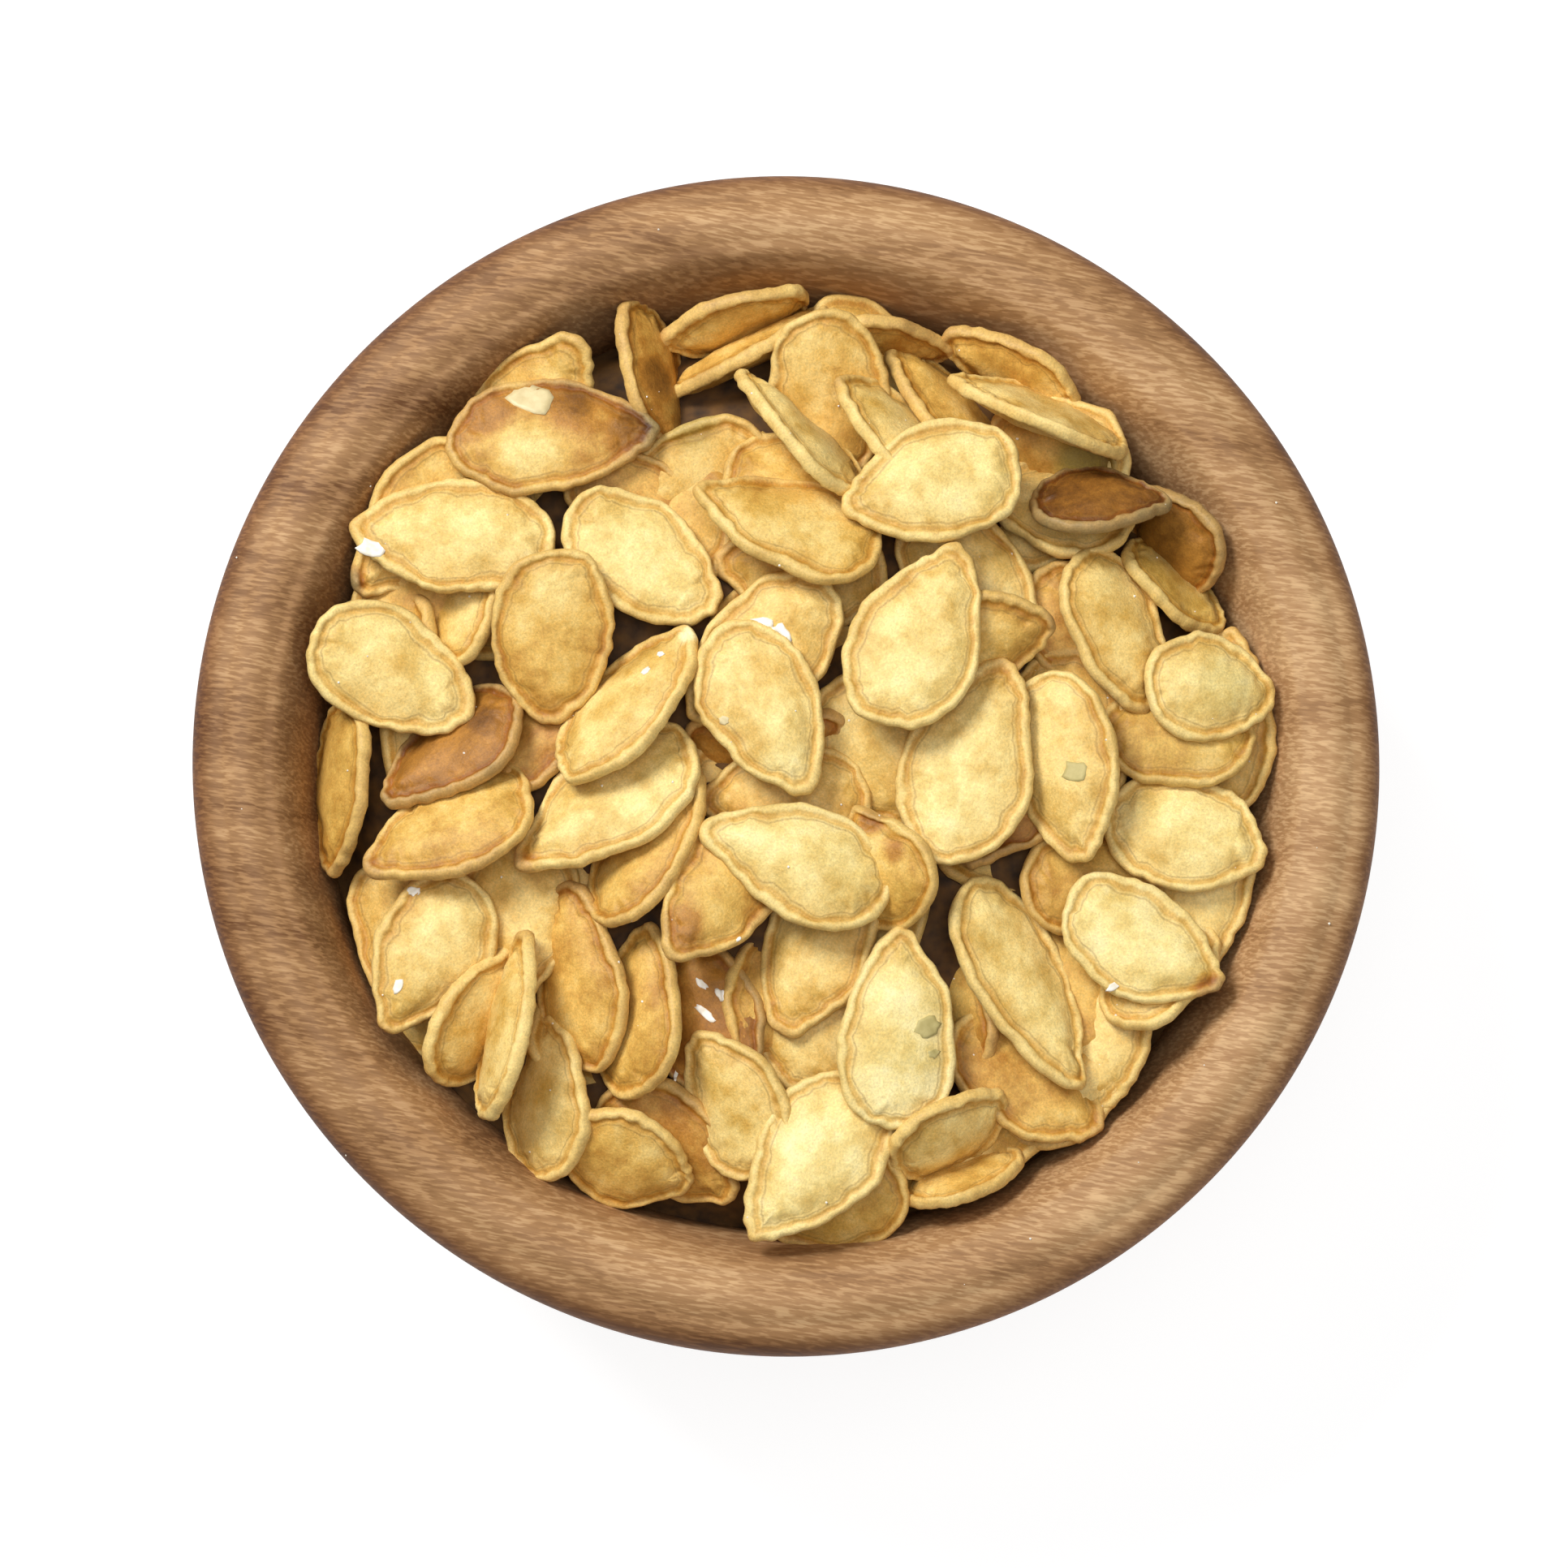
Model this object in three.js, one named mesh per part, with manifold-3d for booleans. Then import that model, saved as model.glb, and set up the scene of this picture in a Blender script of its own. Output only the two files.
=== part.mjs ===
// A turned wooden bowl heaped with roasted pumpkin seeds in their shells.
// Millimetres, +Z up. The origin is the middle of the bowl's foot, on the surface it stands on.

import * as THREE from 'three';
import { mergeVertices } from 'three/addons/utils/BufferGeometryUtils.js';
import Module from 'manifold-3d';

const wasm = await Module();
wasm.setup();

// ---- Driving dimensions ---------------------------------------------------------------------

const gap = 0.4; // clear space between the wood and the seeds

const bowl = {
  height: 46,
  outerRadius: 56.6,
  bellyHeight: 42, // where the outside is widest
  footRadius: 26,
  roundOver: 2.9, // how far the outer edge of the rim is rounded in
  shoulder: 0.7, // how far the rim's crown stands above its two edges
  rimInnerRadius: 49.4,
  innerRound: 2.1, // how far the rim's inner edge is rounded, across
  innerRoundDepth: 4, // and down
  floorThickness: 9.3,
  wallSquareness: 3, // exponent of the inside's curve: 2 is an ellipse, more is squarer
  sides: 56,
};

const seed = {
  thickness: 2.9,
  taper: 0.45, // 0 is an ellipse, 1 runs to a sharp tip
  widest: 0.8812, // the taper curve's own largest value
  tipHalfWidth: 0.9,
  roundness: 2.6, // how squarely the faces turn down to the edge
  endSquareness: 3, // and to the two ends
  edgeShare: 0.12, // the edge's thickness squared, as a share of the middle's
  faceSpread: 0.34, // less spreads the rings of a face nearer its edge
  sides: 10,
  rings: 4,
  touchRows: 27, // the grid of places, along and across, where a face is felt for what it touches
  touchColumns: 15,
};

const heap = {
  crownAboveRim: 7, // top of the heap in the middle
  edgeAboveRim: 0.5, // and at the wall
  looseDepthMiddle: 8, // the pieces that show lie no deeper than this below the heap's top
  looseDepthEdge: 3.5,
  lap: 1.6, // how far a seed lies below the one that covers it
  contactShare: 0.1, // share of a seed's face that may press into what it lies against
  deepestPress: 1.5,
  bite: 0.75, // how far a seed sinks into what carries it
  settlingRounds: 5,
  coreDepth: 10.2, // the packed middle of the heap starts this far below its top
  coreSides: 24,
  finest: 0.14, // detail of the joined heap finer than this is smoothed away
};

// The seeds underneath, which show only through the gaps.
const fill = {
  count: 25,
  sides: 8,
  length: 17.5,
  width: 10.5,
  leastTilt: 8,
  mostTilt: 32,
  depth: 4, // they start this far below the heap's top
  inset: 7, // the outermost lie this far in from the bowl's wall
  headingStep: 0.7549, // from one to the next, the share of its range by which each angle moves on
  tiltStep: 0.5698,
  raisedStep: 0.3247,
};

// The photograph that the seeds' places were read from: its middle, its scale at the rim, where
// the bowl's centre shows in it, and how far and which way its line of sight leans from straight down.
const photo = {
  middle: 966,
  bowlX: 974,
  bowlY: 928,
  pixelsPerMm: 13.05,
  lean: THREE.MathUtils.degToRad(6.6),
  leanToward: THREE.MathUtils.degToRad(250.7),
  distance: 400,
};

// The seeds that show, from the bottom of the heap to its top. The tip and the blunt end are where
// they show in the photograph, in its pixels, and the width is in millimetres. The tilt is in
// degrees, and raised is the compass direction of the higher side, anticlockwise from +X.
const seedsThatShow = [
  { tip: [902, 555], blunt: [782, 737], width: 11, tilt: 10, raised: 330 },
  { tip: [885, 672], blunt: [700, 580], width: 10, tilt: 12, raised: 90 },
  { tip: [880, 690], blunt: [1095, 715], width: 11, tilt: 8, raised: 90 },
  { tip: [1155, 1025], blunt: [1017, 841], width: 11, tilt: 8, raised: 45 },
  { tip: [862, 985], blunt: [1075, 985], width: 11, tilt: 5, raised: 0 },
  { tip: [1042, 888], blunt: [840, 930], width: 9.5, tilt: 45, raised: 90 },
  { tip: [600, 985], blunt: [715, 820], width: 10, tilt: 20, raised: 315 },
  { tip: [650, 1230], blunt: [635, 1020], width: 11.5, tilt: 5, raised: 0 },
  { tip: [505, 1260], blunt: [490, 1040], width: 11, tilt: 15, raised: 0 },
  { tip: [520, 740], blunt: [486, 955], width: 10, tilt: 50, raised: 10 },
  { tip: [580, 660], blunt: [452, 800], width: 10.5, tilt: 10, raised: 30 },
  { tip: [585, 640], blunt: [548, 828], width: 11, tilt: 45, raised: 340 },
  { tip: [425, 722], blunt: [588, 545], width: 11.3, tilt: 20, raised: 135 },
  { tip: [712, 420], blunt: [590, 590], width: 11, tilt: 25, raised: 60 },
  { tip: [1178, 428], blunt: [995, 420], width: 10, tilt: 78, raised: 90 },
  { tip: [1163, 413], blunt: [1332, 505], width: 10, tilt: 66, raised: 62 },
  { tip: [1250, 495], blunt: [1372, 615], width: 11, tilt: 12, raised: 45 },
  { tip: [1222, 520], blunt: [1368, 612], width: 10.5, tilt: 25, raised: 60 },
  { tip: [1402, 602], blunt: [1490, 722], width: 11, tilt: 55, raised: 34 },
  { tip: [1205, 600], blunt: [1400, 640], width: 11, tilt: 20, raised: 270 },
  { tip: [1400, 870], blunt: [1280, 704], width: 11, tilt: 10, raised: 180 },
  { tip: [1270, 802], blunt: [1122, 624], width: 11, tilt: 10, raised: 45 },
  { tip: [1368, 1003], blunt: [1284, 803], width: 11, tilt: 15, raised: 30 },
  { tip: [1528, 772], blunt: [1503, 1005], width: 11.5, tilt: 20, raised: 0 },
  { tip: [1345, 905], blunt: [1546, 905], width: 11, tilt: 15, raised: 270 },
  { tip: [1183, 1066], blunt: [1320, 905], width: 10, tilt: 20, raised: 315 },
  { tip: [1492, 1192], blunt: [1462, 985], width: 11, tilt: 12, raised: 0 },
  { tip: [1455, 1075], blunt: [1253, 1098], width: 10.5, tilt: 12, raised: 180 },
  { tip: [1250, 1130], blunt: [1370, 1300], width: 10.5, tilt: 8, raised: 0 },
  { tip: [1392, 1282], blunt: [1243, 1394], width: 10, tilt: 10, raised: 0 },
  { tip: [1350, 1375], blunt: [1352, 1165], width: 11, tilt: 20, raised: 0 },
  { tip: [1150, 1140], blunt: [1203, 1325], width: 10, tilt: 55, raised: 0 },
  { tip: [1500, 1150], blunt: [1362, 1258], width: 9, tilt: 35, raised: 300 },
  { tip: [1050, 1140], blunt: [978, 1345], width: 11, tilt: 8, raised: 0 },
  { tip: [975, 1105], blunt: [932, 1312], width: 10, tilt: 25, raised: 190 },
  { tip: [850, 1150], blunt: [895, 1350], width: 10.5, tilt: 15, raised: 0 },
  { tip: [643, 1167], blunt: [536, 1334], width: 10, tilt: 50, raised: 149 },
  { tip: [908, 1478], blunt: [745, 1345], width: 11, tilt: 30, raised: 55 },
  { tip: [856, 1458], blunt: [693, 1400], width: 11, tilt: 40, raised: 72 },
  { tip: [920, 1520], blunt: [1120, 1480], width: 11, tilt: 20, raised: 60 },
  { tip: [1262, 1424], blunt: [1112, 1472], width: 9.8, tilt: 60, raised: 289 },
  { tip: [815, 422], blunt: [998, 370], width: 10.5, tilt: 74, raised: 106 },
  { tip: [818, 487], blunt: [1022, 384], width: 10.5, tilt: 76, raised: 300 },
  { tip: [1035, 600], blunt: [1010, 388], width: 11.5, tilt: 20, raised: 90 },
  { tip: [832, 572], blunt: [780, 368], width: 10.5, tilt: 58, raised: 192 },
  { tip: [750, 645], blunt: [945, 550], width: 11, tilt: 15, raised: 90 },
  { tip: [1080, 650], blunt: [893, 568], width: 10.5, tilt: 20, raised: 249 },
  { tip: [1096, 424], blunt: [1235, 575], width: 11, tilt: 52, raised: 223 },
  { tip: [908, 458], blunt: [1062, 608], width: 11, tilt: 66, raised: 226 },
  { tip: [1030, 468], blunt: [1190, 603], width: 11, tilt: 50, raised: 220 },
  { tip: [1172, 462], blunt: [1390, 556], width: 11, tilt: 62, raised: 247 },
  { tip: [1508, 782], blunt: [1385, 668], width: 11, tilt: 57, raised: 228 },
  { tip: [1444, 618], blunt: [1271, 618], width: 10.2, tilt: 47, raised: 272 },
  { tip: [1298, 775], blunt: [1085, 800], width: 10.5, tilt: 30, raised: 90 },
  { tip: [852, 884], blunt: [1024, 722], width: 10.8, tilt: 8, raised: 45 },
  { tip: [862, 1268], blunt: [945, 1450], width: 10.4, tilt: 28, raised: 25 },
  { tip: [964, 1277], blunt: [1043, 1080], width: 11, tilt: 15, raised: 338 },
  { tip: [800, 1135], blunt: [775, 1355], width: 11, tilt: 45, raised: 355 },
  { tip: [672, 1260], blunt: [662, 1468], width: 11, tilt: 45, raised: 0 },
  { tip: [650, 1146], blunt: [601, 1384], width: 11, tilt: 70, raised: 348 },
  { tip: [697, 1090], blunt: [733, 1325], width: 10.2, tilt: 36, raised: 9 },
  { tip: [857, 940], blunt: [743, 1140], width: 11, tilt: 45, raised: 328 },
  { tip: [640, 1070], blunt: [850, 908], width: 12.5, tilt: 30, raised: 307 },
  { tip: [824, 1186], blunt: [950, 1010], width: 10.5, tilt: 15, raised: 225 },
  { tip: [1056, 992], blunt: [1124, 1142], width: 10.5, tilt: 40, raised: 24 },
  { tip: [863, 1014], blunt: [1097, 1108], width: 11.2, tilt: 6, raised: 240 },
  { tip: [476, 1275], blunt: [578, 1082], width: 11, tilt: 5, raised: 135 },
  { tip: [411, 1082], blunt: [428, 858], width: 11, tilt: 62, raised: 357 },
  { tip: [450, 1072], blunt: [655, 968], width: 12, tilt: 32, raised: 297 },
  { tip: [472, 993], blunt: [636, 858], width: 11, tilt: 37, raised: 310 },
  { tip: [1358, 1394], blunt: [1175, 1265], width: 11, tilt: 15, raised: 225 },
  { tip: [1242, 1354], blunt: [1097, 1440], width: 10.5, tilt: 52, raised: 120 },
  { tip: [1328, 1342], blunt: [1192, 1085], width: 10.5, tilt: 30, raised: 208 },
  { tip: [1412, 876], blunt: [1336, 677], width: 10.4, tilt: 25, raised: 200 },
  { tip: [1503, 1218], blunt: [1312, 1108], width: 10.8, tilt: 5, raised: 250 },
  { tip: [1561, 1051], blunt: [1360, 1004], width: 11.5, tilt: 8, raised: 270 },
  { tip: [1335, 1065], blunt: [1288, 826], width: 11.2, tilt: 25, raised: 0 },
  { tip: [1236, 812], blunt: [1156, 1062], width: 12.6, tilt: 8, raised: 340 },
  { tip: [1184, 668], blunt: [1082, 893], width: 12.4, tilt: 6, raised: 300 },
  { tip: [928, 1528], blunt: [1075, 1332], width: 12, tilt: 3, raised: 300 },
  { tip: [1112, 1140], blunt: [1100, 1395], width: 11.5, tilt: 4, raised: 180 },
  { tip: [998, 980], blunt: [888, 772], width: 11.5, tilt: 3, raised: 230 },
  { tip: [852, 776], blunt: [695, 958], width: 10.9, tilt: 42, raised: 319 },
  { tip: [855, 600], blunt: [1086, 690], width: 11.5, tilt: 33, raised: 249 },
  { tip: [1036, 628], blunt: [1259, 566], width: 11.9, tilt: 8, raised: 270 },
  { tip: [812, 528], blunt: [551, 546], width: 11.6, tilt: 8, raised: 270 },
  { tip: [432, 650], blunt: [684, 668], width: 11.3, tilt: 8, raised: 270 },
  { tip: [884, 757], blunt: [701, 622], width: 11, tilt: 5, raised: 230 },
  { tip: [668, 890], blunt: [694, 679], width: 11.8, tilt: 15, raised: 90 },
  { tip: [562, 876], blunt: [368, 770], width: 11.3, tilt: 9, raised: 150 },
  { tip: [1576, 852], blunt: [1409, 841], width: 10.6, tilt: 12, raised: 200 },
];

// ---- The bowl's shape -------------------------------------------------------------------------

const edgeHeight = bowl.height - bowl.shoulder; // both edges of the rim, below its crown
const mouthRadius = bowl.rimInnerRadius - bowl.innerRound;
const mouthHeight = edgeHeight - bowl.innerRoundDepth;
const insideDepth = mouthHeight - bowl.floorThickness;

// Points along a quarter turn, from 0 to 90 degrees, as pairs of sine and cosine.
function quarterTurn(steps, from = 0, to = steps) {
  const points = [];
  for (let i = from; i <= to; i++) {
    const angle = (i / steps) * (Math.PI / 2);
    points.push([Math.sin(angle), Math.cos(angle)]);
  }
  return points;
}

// The inside's radius at a height, shrunk by a clearance.
function insideRadius(z, clearance = 0) {
  const drop = THREE.MathUtils.clamp((mouthHeight - z) / (insideDepth - clearance), 0, 1);
  const { wallSquareness } = bowl;
  return (mouthRadius - clearance) * (1 - drop ** wallSquareness) ** (1 / wallSquareness);
}

// The bowl's section, from the middle of the foot round the outside, over the rim and down inside.
function bowlSection() {
  const section = [new THREE.Vector2(0, 0)];
  for (const [sin, cos] of quarterTurn(7)) {
    const reach = bowl.outerRadius - bowl.footRadius;
    section.push(new THREE.Vector2(bowl.footRadius + reach * sin, bowl.bellyHeight * (1 - cos)));
  }
  for (const [sin, cos] of quarterTurn(3, 1)) {
    const rise = edgeHeight - bowl.bellyHeight;
    const radius = bowl.outerRadius - bowl.roundOver * (1 - cos);
    section.push(new THREE.Vector2(radius, bowl.bellyHeight + rise * sin));
  }
  const crownOuter = bowl.outerRadius - bowl.roundOver;
  const crownSteps = 4;
  for (let i = 1; i <= crownSteps; i++) {
    const across = i / crownSteps;
    const radius = THREE.MathUtils.lerp(crownOuter, bowl.rimInnerRadius, across);
    section.push(new THREE.Vector2(radius, edgeHeight + bowl.shoulder * Math.sin(Math.PI * across)));
  }
  for (const [sin, cos] of quarterTurn(3, 1)) {
    const radius = bowl.rimInnerRadius - bowl.innerRound * sin;
    section.push(new THREE.Vector2(radius, edgeHeight - bowl.innerRoundDepth * (1 - cos)));
  }
  for (const [sin] of quarterTurn(8, 1, 7)) {
    const z = mouthHeight - insideDepth * sin;
    section.push(new THREE.Vector2(insideRadius(z), z));
  }
  section.push(new THREE.Vector2(0, bowl.floorThickness));
  return section;
}

// A lathe turns about +Y, so it is stood up to turn about +Z.
function turned(section, sides) {
  return new THREE.LatheGeometry(section, sides).rotateX(Math.PI / 2);
}

// ---- One seed ---------------------------------------------------------------------------------

// Half the width of a seed at a place along it: -1 is its tip, 1 its blunt end.
function halfWidth(along, width) {
  const angle = Math.acos(THREE.MathUtils.clamp(along, -1, 1));
  const drop = Math.sin(angle) * (1 - seed.taper + seed.taper * Math.cos(angle / 2));
  return ((width / 2) * drop) / seed.widest;
}

// A flattened ball, pressed into the seed's outline: +X runs to the blunt end and +Y out of a face.
// The half turn of one side at the start leaves the tip cut square.
function seedShape(length, width, sides) {
  const ball = new THREE.SphereGeometry(1, sides, seed.rings, Math.PI / sides);
  const at = ball.getAttribute('position');
  const endStretch = 1 / Math.cos(Math.PI / sides);
  for (let i = 0; i < at.count; i++) {
    const face = at.getY(i);
    const plan = Math.max(0, 1 - Math.abs(face)) ** seed.faceSpread;
    const angle = Math.atan2(at.getZ(i), at.getX(i));
    const side = Math.sign(Math.sin(angle)) * halfWidth(Math.cos(angle), width);
    const crown = Math.sign(face) * Math.sin((Math.PI / 2) * Math.abs(face));
    at.setXYZ(
      i,
      plan * endStretch * Math.cos(angle) * (length / 2),
      crown * (seed.thickness / 2),
      plan * side,
    );
  }
  return ball;
}

// ---- Where each seed lies ---------------------------------------------------------------------

const back = new THREE.Vector3(
  Math.sin(photo.lean) * Math.cos(photo.leanToward),
  Math.sin(photo.lean) * Math.sin(photo.leanToward),
  Math.cos(photo.lean),
);
const right = new THREE.Vector3(0, 1, 0).cross(back).normalize();
const up = back.clone().cross(right);
const eye = new THREE.Vector3(0, 0, bowl.height)
  .addScaledVector(right, (photo.middle - photo.bowlX) / photo.pixelsPerMm)
  .addScaledVector(up, (photo.bowlY - photo.middle) / photo.pixelsPerMm)
  .addScaledVector(back, photo.distance);

// The point at height z that shows at a pixel of the photograph.
function pointSeenAt([x, y], z) {
  const focal = photo.pixelsPerMm * photo.distance;
  const ray = back.clone().negate()
    .addScaledVector(right, (x - photo.middle) / focal)
    .addScaledVector(up, (photo.middle - y) / focal);
  return eye.clone().addScaledVector(ray, (z - eye.z) / ray.z);
}

// A seed's middle, its axes and its true length, for level ends and a tilt about its middle.
function layOut(tip, blunt, tiltDegrees, raisedDegrees) {
  const tilt = THREE.MathUtils.degToRad(tiltDegrees);
  const raised = THREE.MathUtils.degToRad(raisedDegrees);
  const out = new THREE.Vector3(
    -Math.sin(tilt) * Math.cos(raised),
    -Math.sin(tilt) * Math.sin(raised),
    Math.cos(tilt),
  );
  const along = blunt.clone().sub(tip).setZ(0);
  along.z = -(along.x * out.x + along.y * out.y) / out.z;
  const length = along.length();
  along.normalize();
  const across = out.clone().cross(along);
  return { middle: tip.clone().add(blunt).multiplyScalar(0.5), along, across, out, length };
}

// Points over a seed's two faces, for finding what it touches.
function facePoints(pose, width) {
  const lower = [];
  const upper = [];
  for (let i = 0; i < seed.touchRows; i++) {
    const alongShare = ((i + 0.5) / seed.touchRows) * 2 - 1;
    const half = Math.max(halfWidth(alongShare, width), alongShare < 0 ? seed.tipHalfWidth : 0);
    for (let j = 0; j < seed.touchColumns; j++) {
      const acrossShare = ((j + 0.5) / seed.touchColumns) * 2 - 1;
      const out = Math.max(Math.abs(acrossShare), Math.abs(alongShare) ** seed.endSquareness);
      const bulge = THREE.MathUtils.clamp(1 - out ** seed.roundness, seed.edgeShare, 1);
      const depth = (seed.thickness / 2) * Math.sqrt(bulge);
      const point = pose.middle.clone()
        .addScaledVector(pose.along, (alongShare * pose.length) / 2)
        .addScaledVector(pose.across, acrossShare * half);
      lower.push(point.clone().addScaledVector(pose.out, -depth));
      upper.push(point.addScaledVector(pose.out, depth));
    }
  }
  return { lower, upper };
}

// The heap's top surface before any seed lies under it.
function heapTop(radius) {
  const outward = Math.min(radius / mouthRadius, 1) ** 2;
  return bowl.height + THREE.MathUtils.lerp(heap.crownAboveRim, heap.edgeAboveRim, outward);
}

// How far below the heap's top the loose seeds may lie.
function looseDepth(radius) {
  const outward = Math.min(radius / mouthRadius, 1) ** 4;
  return THREE.MathUtils.lerp(heap.looseDepthMiddle, heap.looseDepthEdge, outward);
}

// A height over the bowl's plan in cells of one millimetre.
class HeightField {
  constructor(heightAt) {
    this.half = 50;
    this.cells = 2 * this.half;
    this.height = new Float64Array(this.cells ** 2);
    for (let i = 0; i < this.cells; i++) {
      for (let j = 0; j < this.cells; j++) {
        const radius = Math.hypot(i + 0.5 - this.half, j + 0.5 - this.half);
        this.height[i * this.cells + j] = heightAt(radius);
      }
    }
  }

  cellOf(point) {
    const last = this.cells - 1;
    const i = THREE.MathUtils.clamp(Math.floor(point.x + this.half), 0, last);
    const j = THREE.MathUtils.clamp(Math.floor(point.y + this.half), 0, last);
    return i * this.cells + j;
  }

  // How far each point lies below the field, least first.
  depthsOf(points) {
    return points.map((point) => this.height[this.cellOf(point)] - point.z).sort((a, b) => a - b);
  }
}

// The sideways move that brings a seed's farthest point back inside the bowl's wall.
function moveOffWall(points) {
  const move = new THREE.Vector3();
  let farthest = 0;
  for (const point of points) {
    const radius = Math.hypot(point.x, point.y);
    const over = point.z > bowl.height ? 0 : radius - insideRadius(point.z, gap);
    if (over > farthest) {
      farthest = over;
      move.set(-point.x, -point.y, 0).multiplyScalar(over / radius);
    }
  }
  return move;
}

// A seed that is still to find its place: poseAt gives its pose when its middle is at a height.
class LooseSeed {
  constructor(width, poseAt, sides) {
    this.width = width;
    this.sides = sides;
    this.poseAt = poseAt;
    this.height = bowl.height;
    this.shift = new THREE.Vector3();
  }

  get pose() {
    const pose = this.poseAt(this.height);
    pose.middle.add(this.shift);
    return pose;
  }

  clearWall() {
    const { lower, upper } = facePoints(this.pose, this.width);
    this.shift.add(moveOffWall([...lower, ...upper]));
  }

  // Raises it until its upper face presses against the ceiling, and lowers the ceiling under it.
  pressUnder(ceiling, lowest) {
    for (let round = 0; round < heap.settlingRounds; round++) {
      const depths = ceiling.depthsOf(facePoints(this.pose, this.width).upper);
      const pressed = depths[Math.floor(heap.contactShare * depths.length)];
      this.height += Math.min(pressed, depths[0] + heap.deepestPress);
      this.clearWall();
    }
    for (const point of facePoints(this.pose, this.width).upper) {
      const cell = ceiling.cellOf(point);
      const covered = Math.min(ceiling.height[cell], point.z - heap.lap);
      ceiling.height[cell] = Math.max(covered, lowest.height[cell]);
    }
  }

  // Lets it sink, where it hangs free, until it bites into what lies under it.
  sinkOnto(ground) {
    const heights = ground.depthsOf(facePoints(this.pose, this.width).lower).reverse();
    const clearance = heap.bite - heights[Math.floor(heap.contactShare * heights.length)];
    this.height -= Math.max(0, clearance);
    this.clearWall();
    for (const point of facePoints(this.pose, this.width).upper) {
      const cell = ground.cellOf(point);
      ground.height[cell] = Math.max(ground.height[cell], point.z);
    }
  }
}

// The seeds that show, top one first.
function shownSeeds() {
  const seeds = seedsThatShow.map(({ tip, blunt, width, tilt, raised }) => {
    const poseAt = (z) => layOut(pointSeenAt(tip, z), pointSeenAt(blunt, z), tilt, raised);
    return new LooseSeed(width, poseAt, seed.sides);
  });
  return seeds.reverse();
}

// Seeds underneath, on a sunflower spiral, each turned and tilted by its own share of a turn.
function fillSeeds() {
  const golden = (Math.sqrt(5) - 1) / 2;
  const turn = 2 * Math.PI;
  const seeds = [];
  for (let k = 0; k < fill.count; k++) {
    const radius = (mouthRadius - fill.inset) * Math.sqrt((k + 0.5) / fill.count);
    const bearing = k * golden * turn;
    const heading = ((k * fill.headingStep) % 1) * turn;
    const tilt = THREE.MathUtils.lerp(fill.leastTilt, fill.mostTilt, (k * fill.tiltStep) % 1);
    const raised = ((k * fill.raisedStep) % 1) * 360;
    const poseAt = (z) => {
      const middle = new THREE.Vector3(radius * Math.cos(bearing), radius * Math.sin(bearing), z);
      const reach = new THREE.Vector3(Math.cos(heading), Math.sin(heading), 0)
        .multiplyScalar((fill.length / 2) * Math.cos(THREE.MathUtils.degToRad(tilt)));
      return layOut(middle.clone().sub(reach), middle.clone().add(reach), tilt, raised);
    };
    seeds.push(new LooseSeed(fill.width, poseAt, fill.sides));
  }
  return seeds;
}

// Every seed in its place, lowest first: all are pressed up under the heap's top in the order in
// which they cover each other, then let down from the lowest on until none hangs free.
function laidSeeds() {
  const ceiling = new HeightField(heapTop);
  const loosest = new HeightField((radius) => heapTop(radius) - looseDepth(radius));
  const shown = shownSeeds();
  for (const each of shown) each.pressUnder(ceiling, loosest);

  const core = new HeightField((radius) => heapTop(radius) - heap.coreDepth);
  const highestFill = new HeightField((radius) => heapTop(radius) - fill.depth);
  for (let cell = 0; cell < ceiling.height.length; cell++) {
    ceiling.height[cell] = Math.min(ceiling.height[cell], highestFill.height[cell]);
  }
  const underneath = fillSeeds();
  for (const each of underneath) each.pressUnder(ceiling, core);

  const seeds = [...shown, ...underneath].reverse();
  for (const each of seeds) each.sinkOnto(core);
  return seeds;
}

// The packed middle of the heap, which the seeds are joined to.
function coreSection() {
  const edge = mouthRadius - gap;
  const topAt = (radius) => heapTop(radius) - heap.coreDepth;
  const section = [new THREE.Vector2(0, bowl.floorThickness + gap)];
  for (const [sin] of quarterTurn(6, 0, 5).reverse()) {
    const z = mouthHeight - (insideDepth - gap) * sin;
    if (z < topAt(edge)) section.push(new THREE.Vector2(insideRadius(z, gap), z));
  }
  const steps = 4;
  for (let i = steps; i >= 0; i--) {
    const radius = (i / steps) * insideRadius(topAt(edge), gap);
    section.push(new THREE.Vector2(radius, topAt(radius)));
  }
  return section;
}

// ---- Joining ----------------------------------------------------------------------------------

function toSolid(geometry) {
  geometry.deleteAttribute('normal');
  geometry.deleteAttribute('uv');
  const merged = mergeVertices(geometry, 1e-4);
  const vertProperties = merged.getAttribute('position').array;
  const triVerts = new Uint32Array(merged.getIndex().array);
  return new wasm.Manifold(new wasm.Mesh({ numProp: 3, vertProperties, triVerts }));
}

function toGeometry(solid) {
  const { vertProperties, triVerts } = solid.getMesh();
  const geometry = new THREE.BufferGeometry();
  geometry.setAttribute('position', new THREE.BufferAttribute(vertProperties, 3));
  geometry.setIndex(new THREE.BufferAttribute(triVerts, 1));
  geometry.computeVertexNormals();
  return geometry;
}

function seedSolid({ pose, width, sides }) {
  const side = pose.along.clone().cross(pose.out);
  const place = new THREE.Matrix4().makeBasis(pose.along, pose.out, side).setPosition(pose.middle);
  return toSolid(seedShape(pose.length, width, sides).applyMatrix4(place));
}

// The largest closed piece of a solid.
function largestBody(solid) {
  return solid.decompose().sort((a, b) => b.volume() - a.volume())[0];
}

// The seeds and the core as one body, without the sealed hollows between seeds or any seed that
// touches nothing.
function heapGeometry() {
  const core = toSolid(turned(coreSection(), heap.coreSides));
  const joined = laidSeeds().reduce((solid, each) => solid.add(seedSolid(each)), core);
  return toGeometry(largestBody(largestBody(joined).asOriginal().simplify(heap.finest)));
}

// ---- The part ---------------------------------------------------------------------------------

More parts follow.
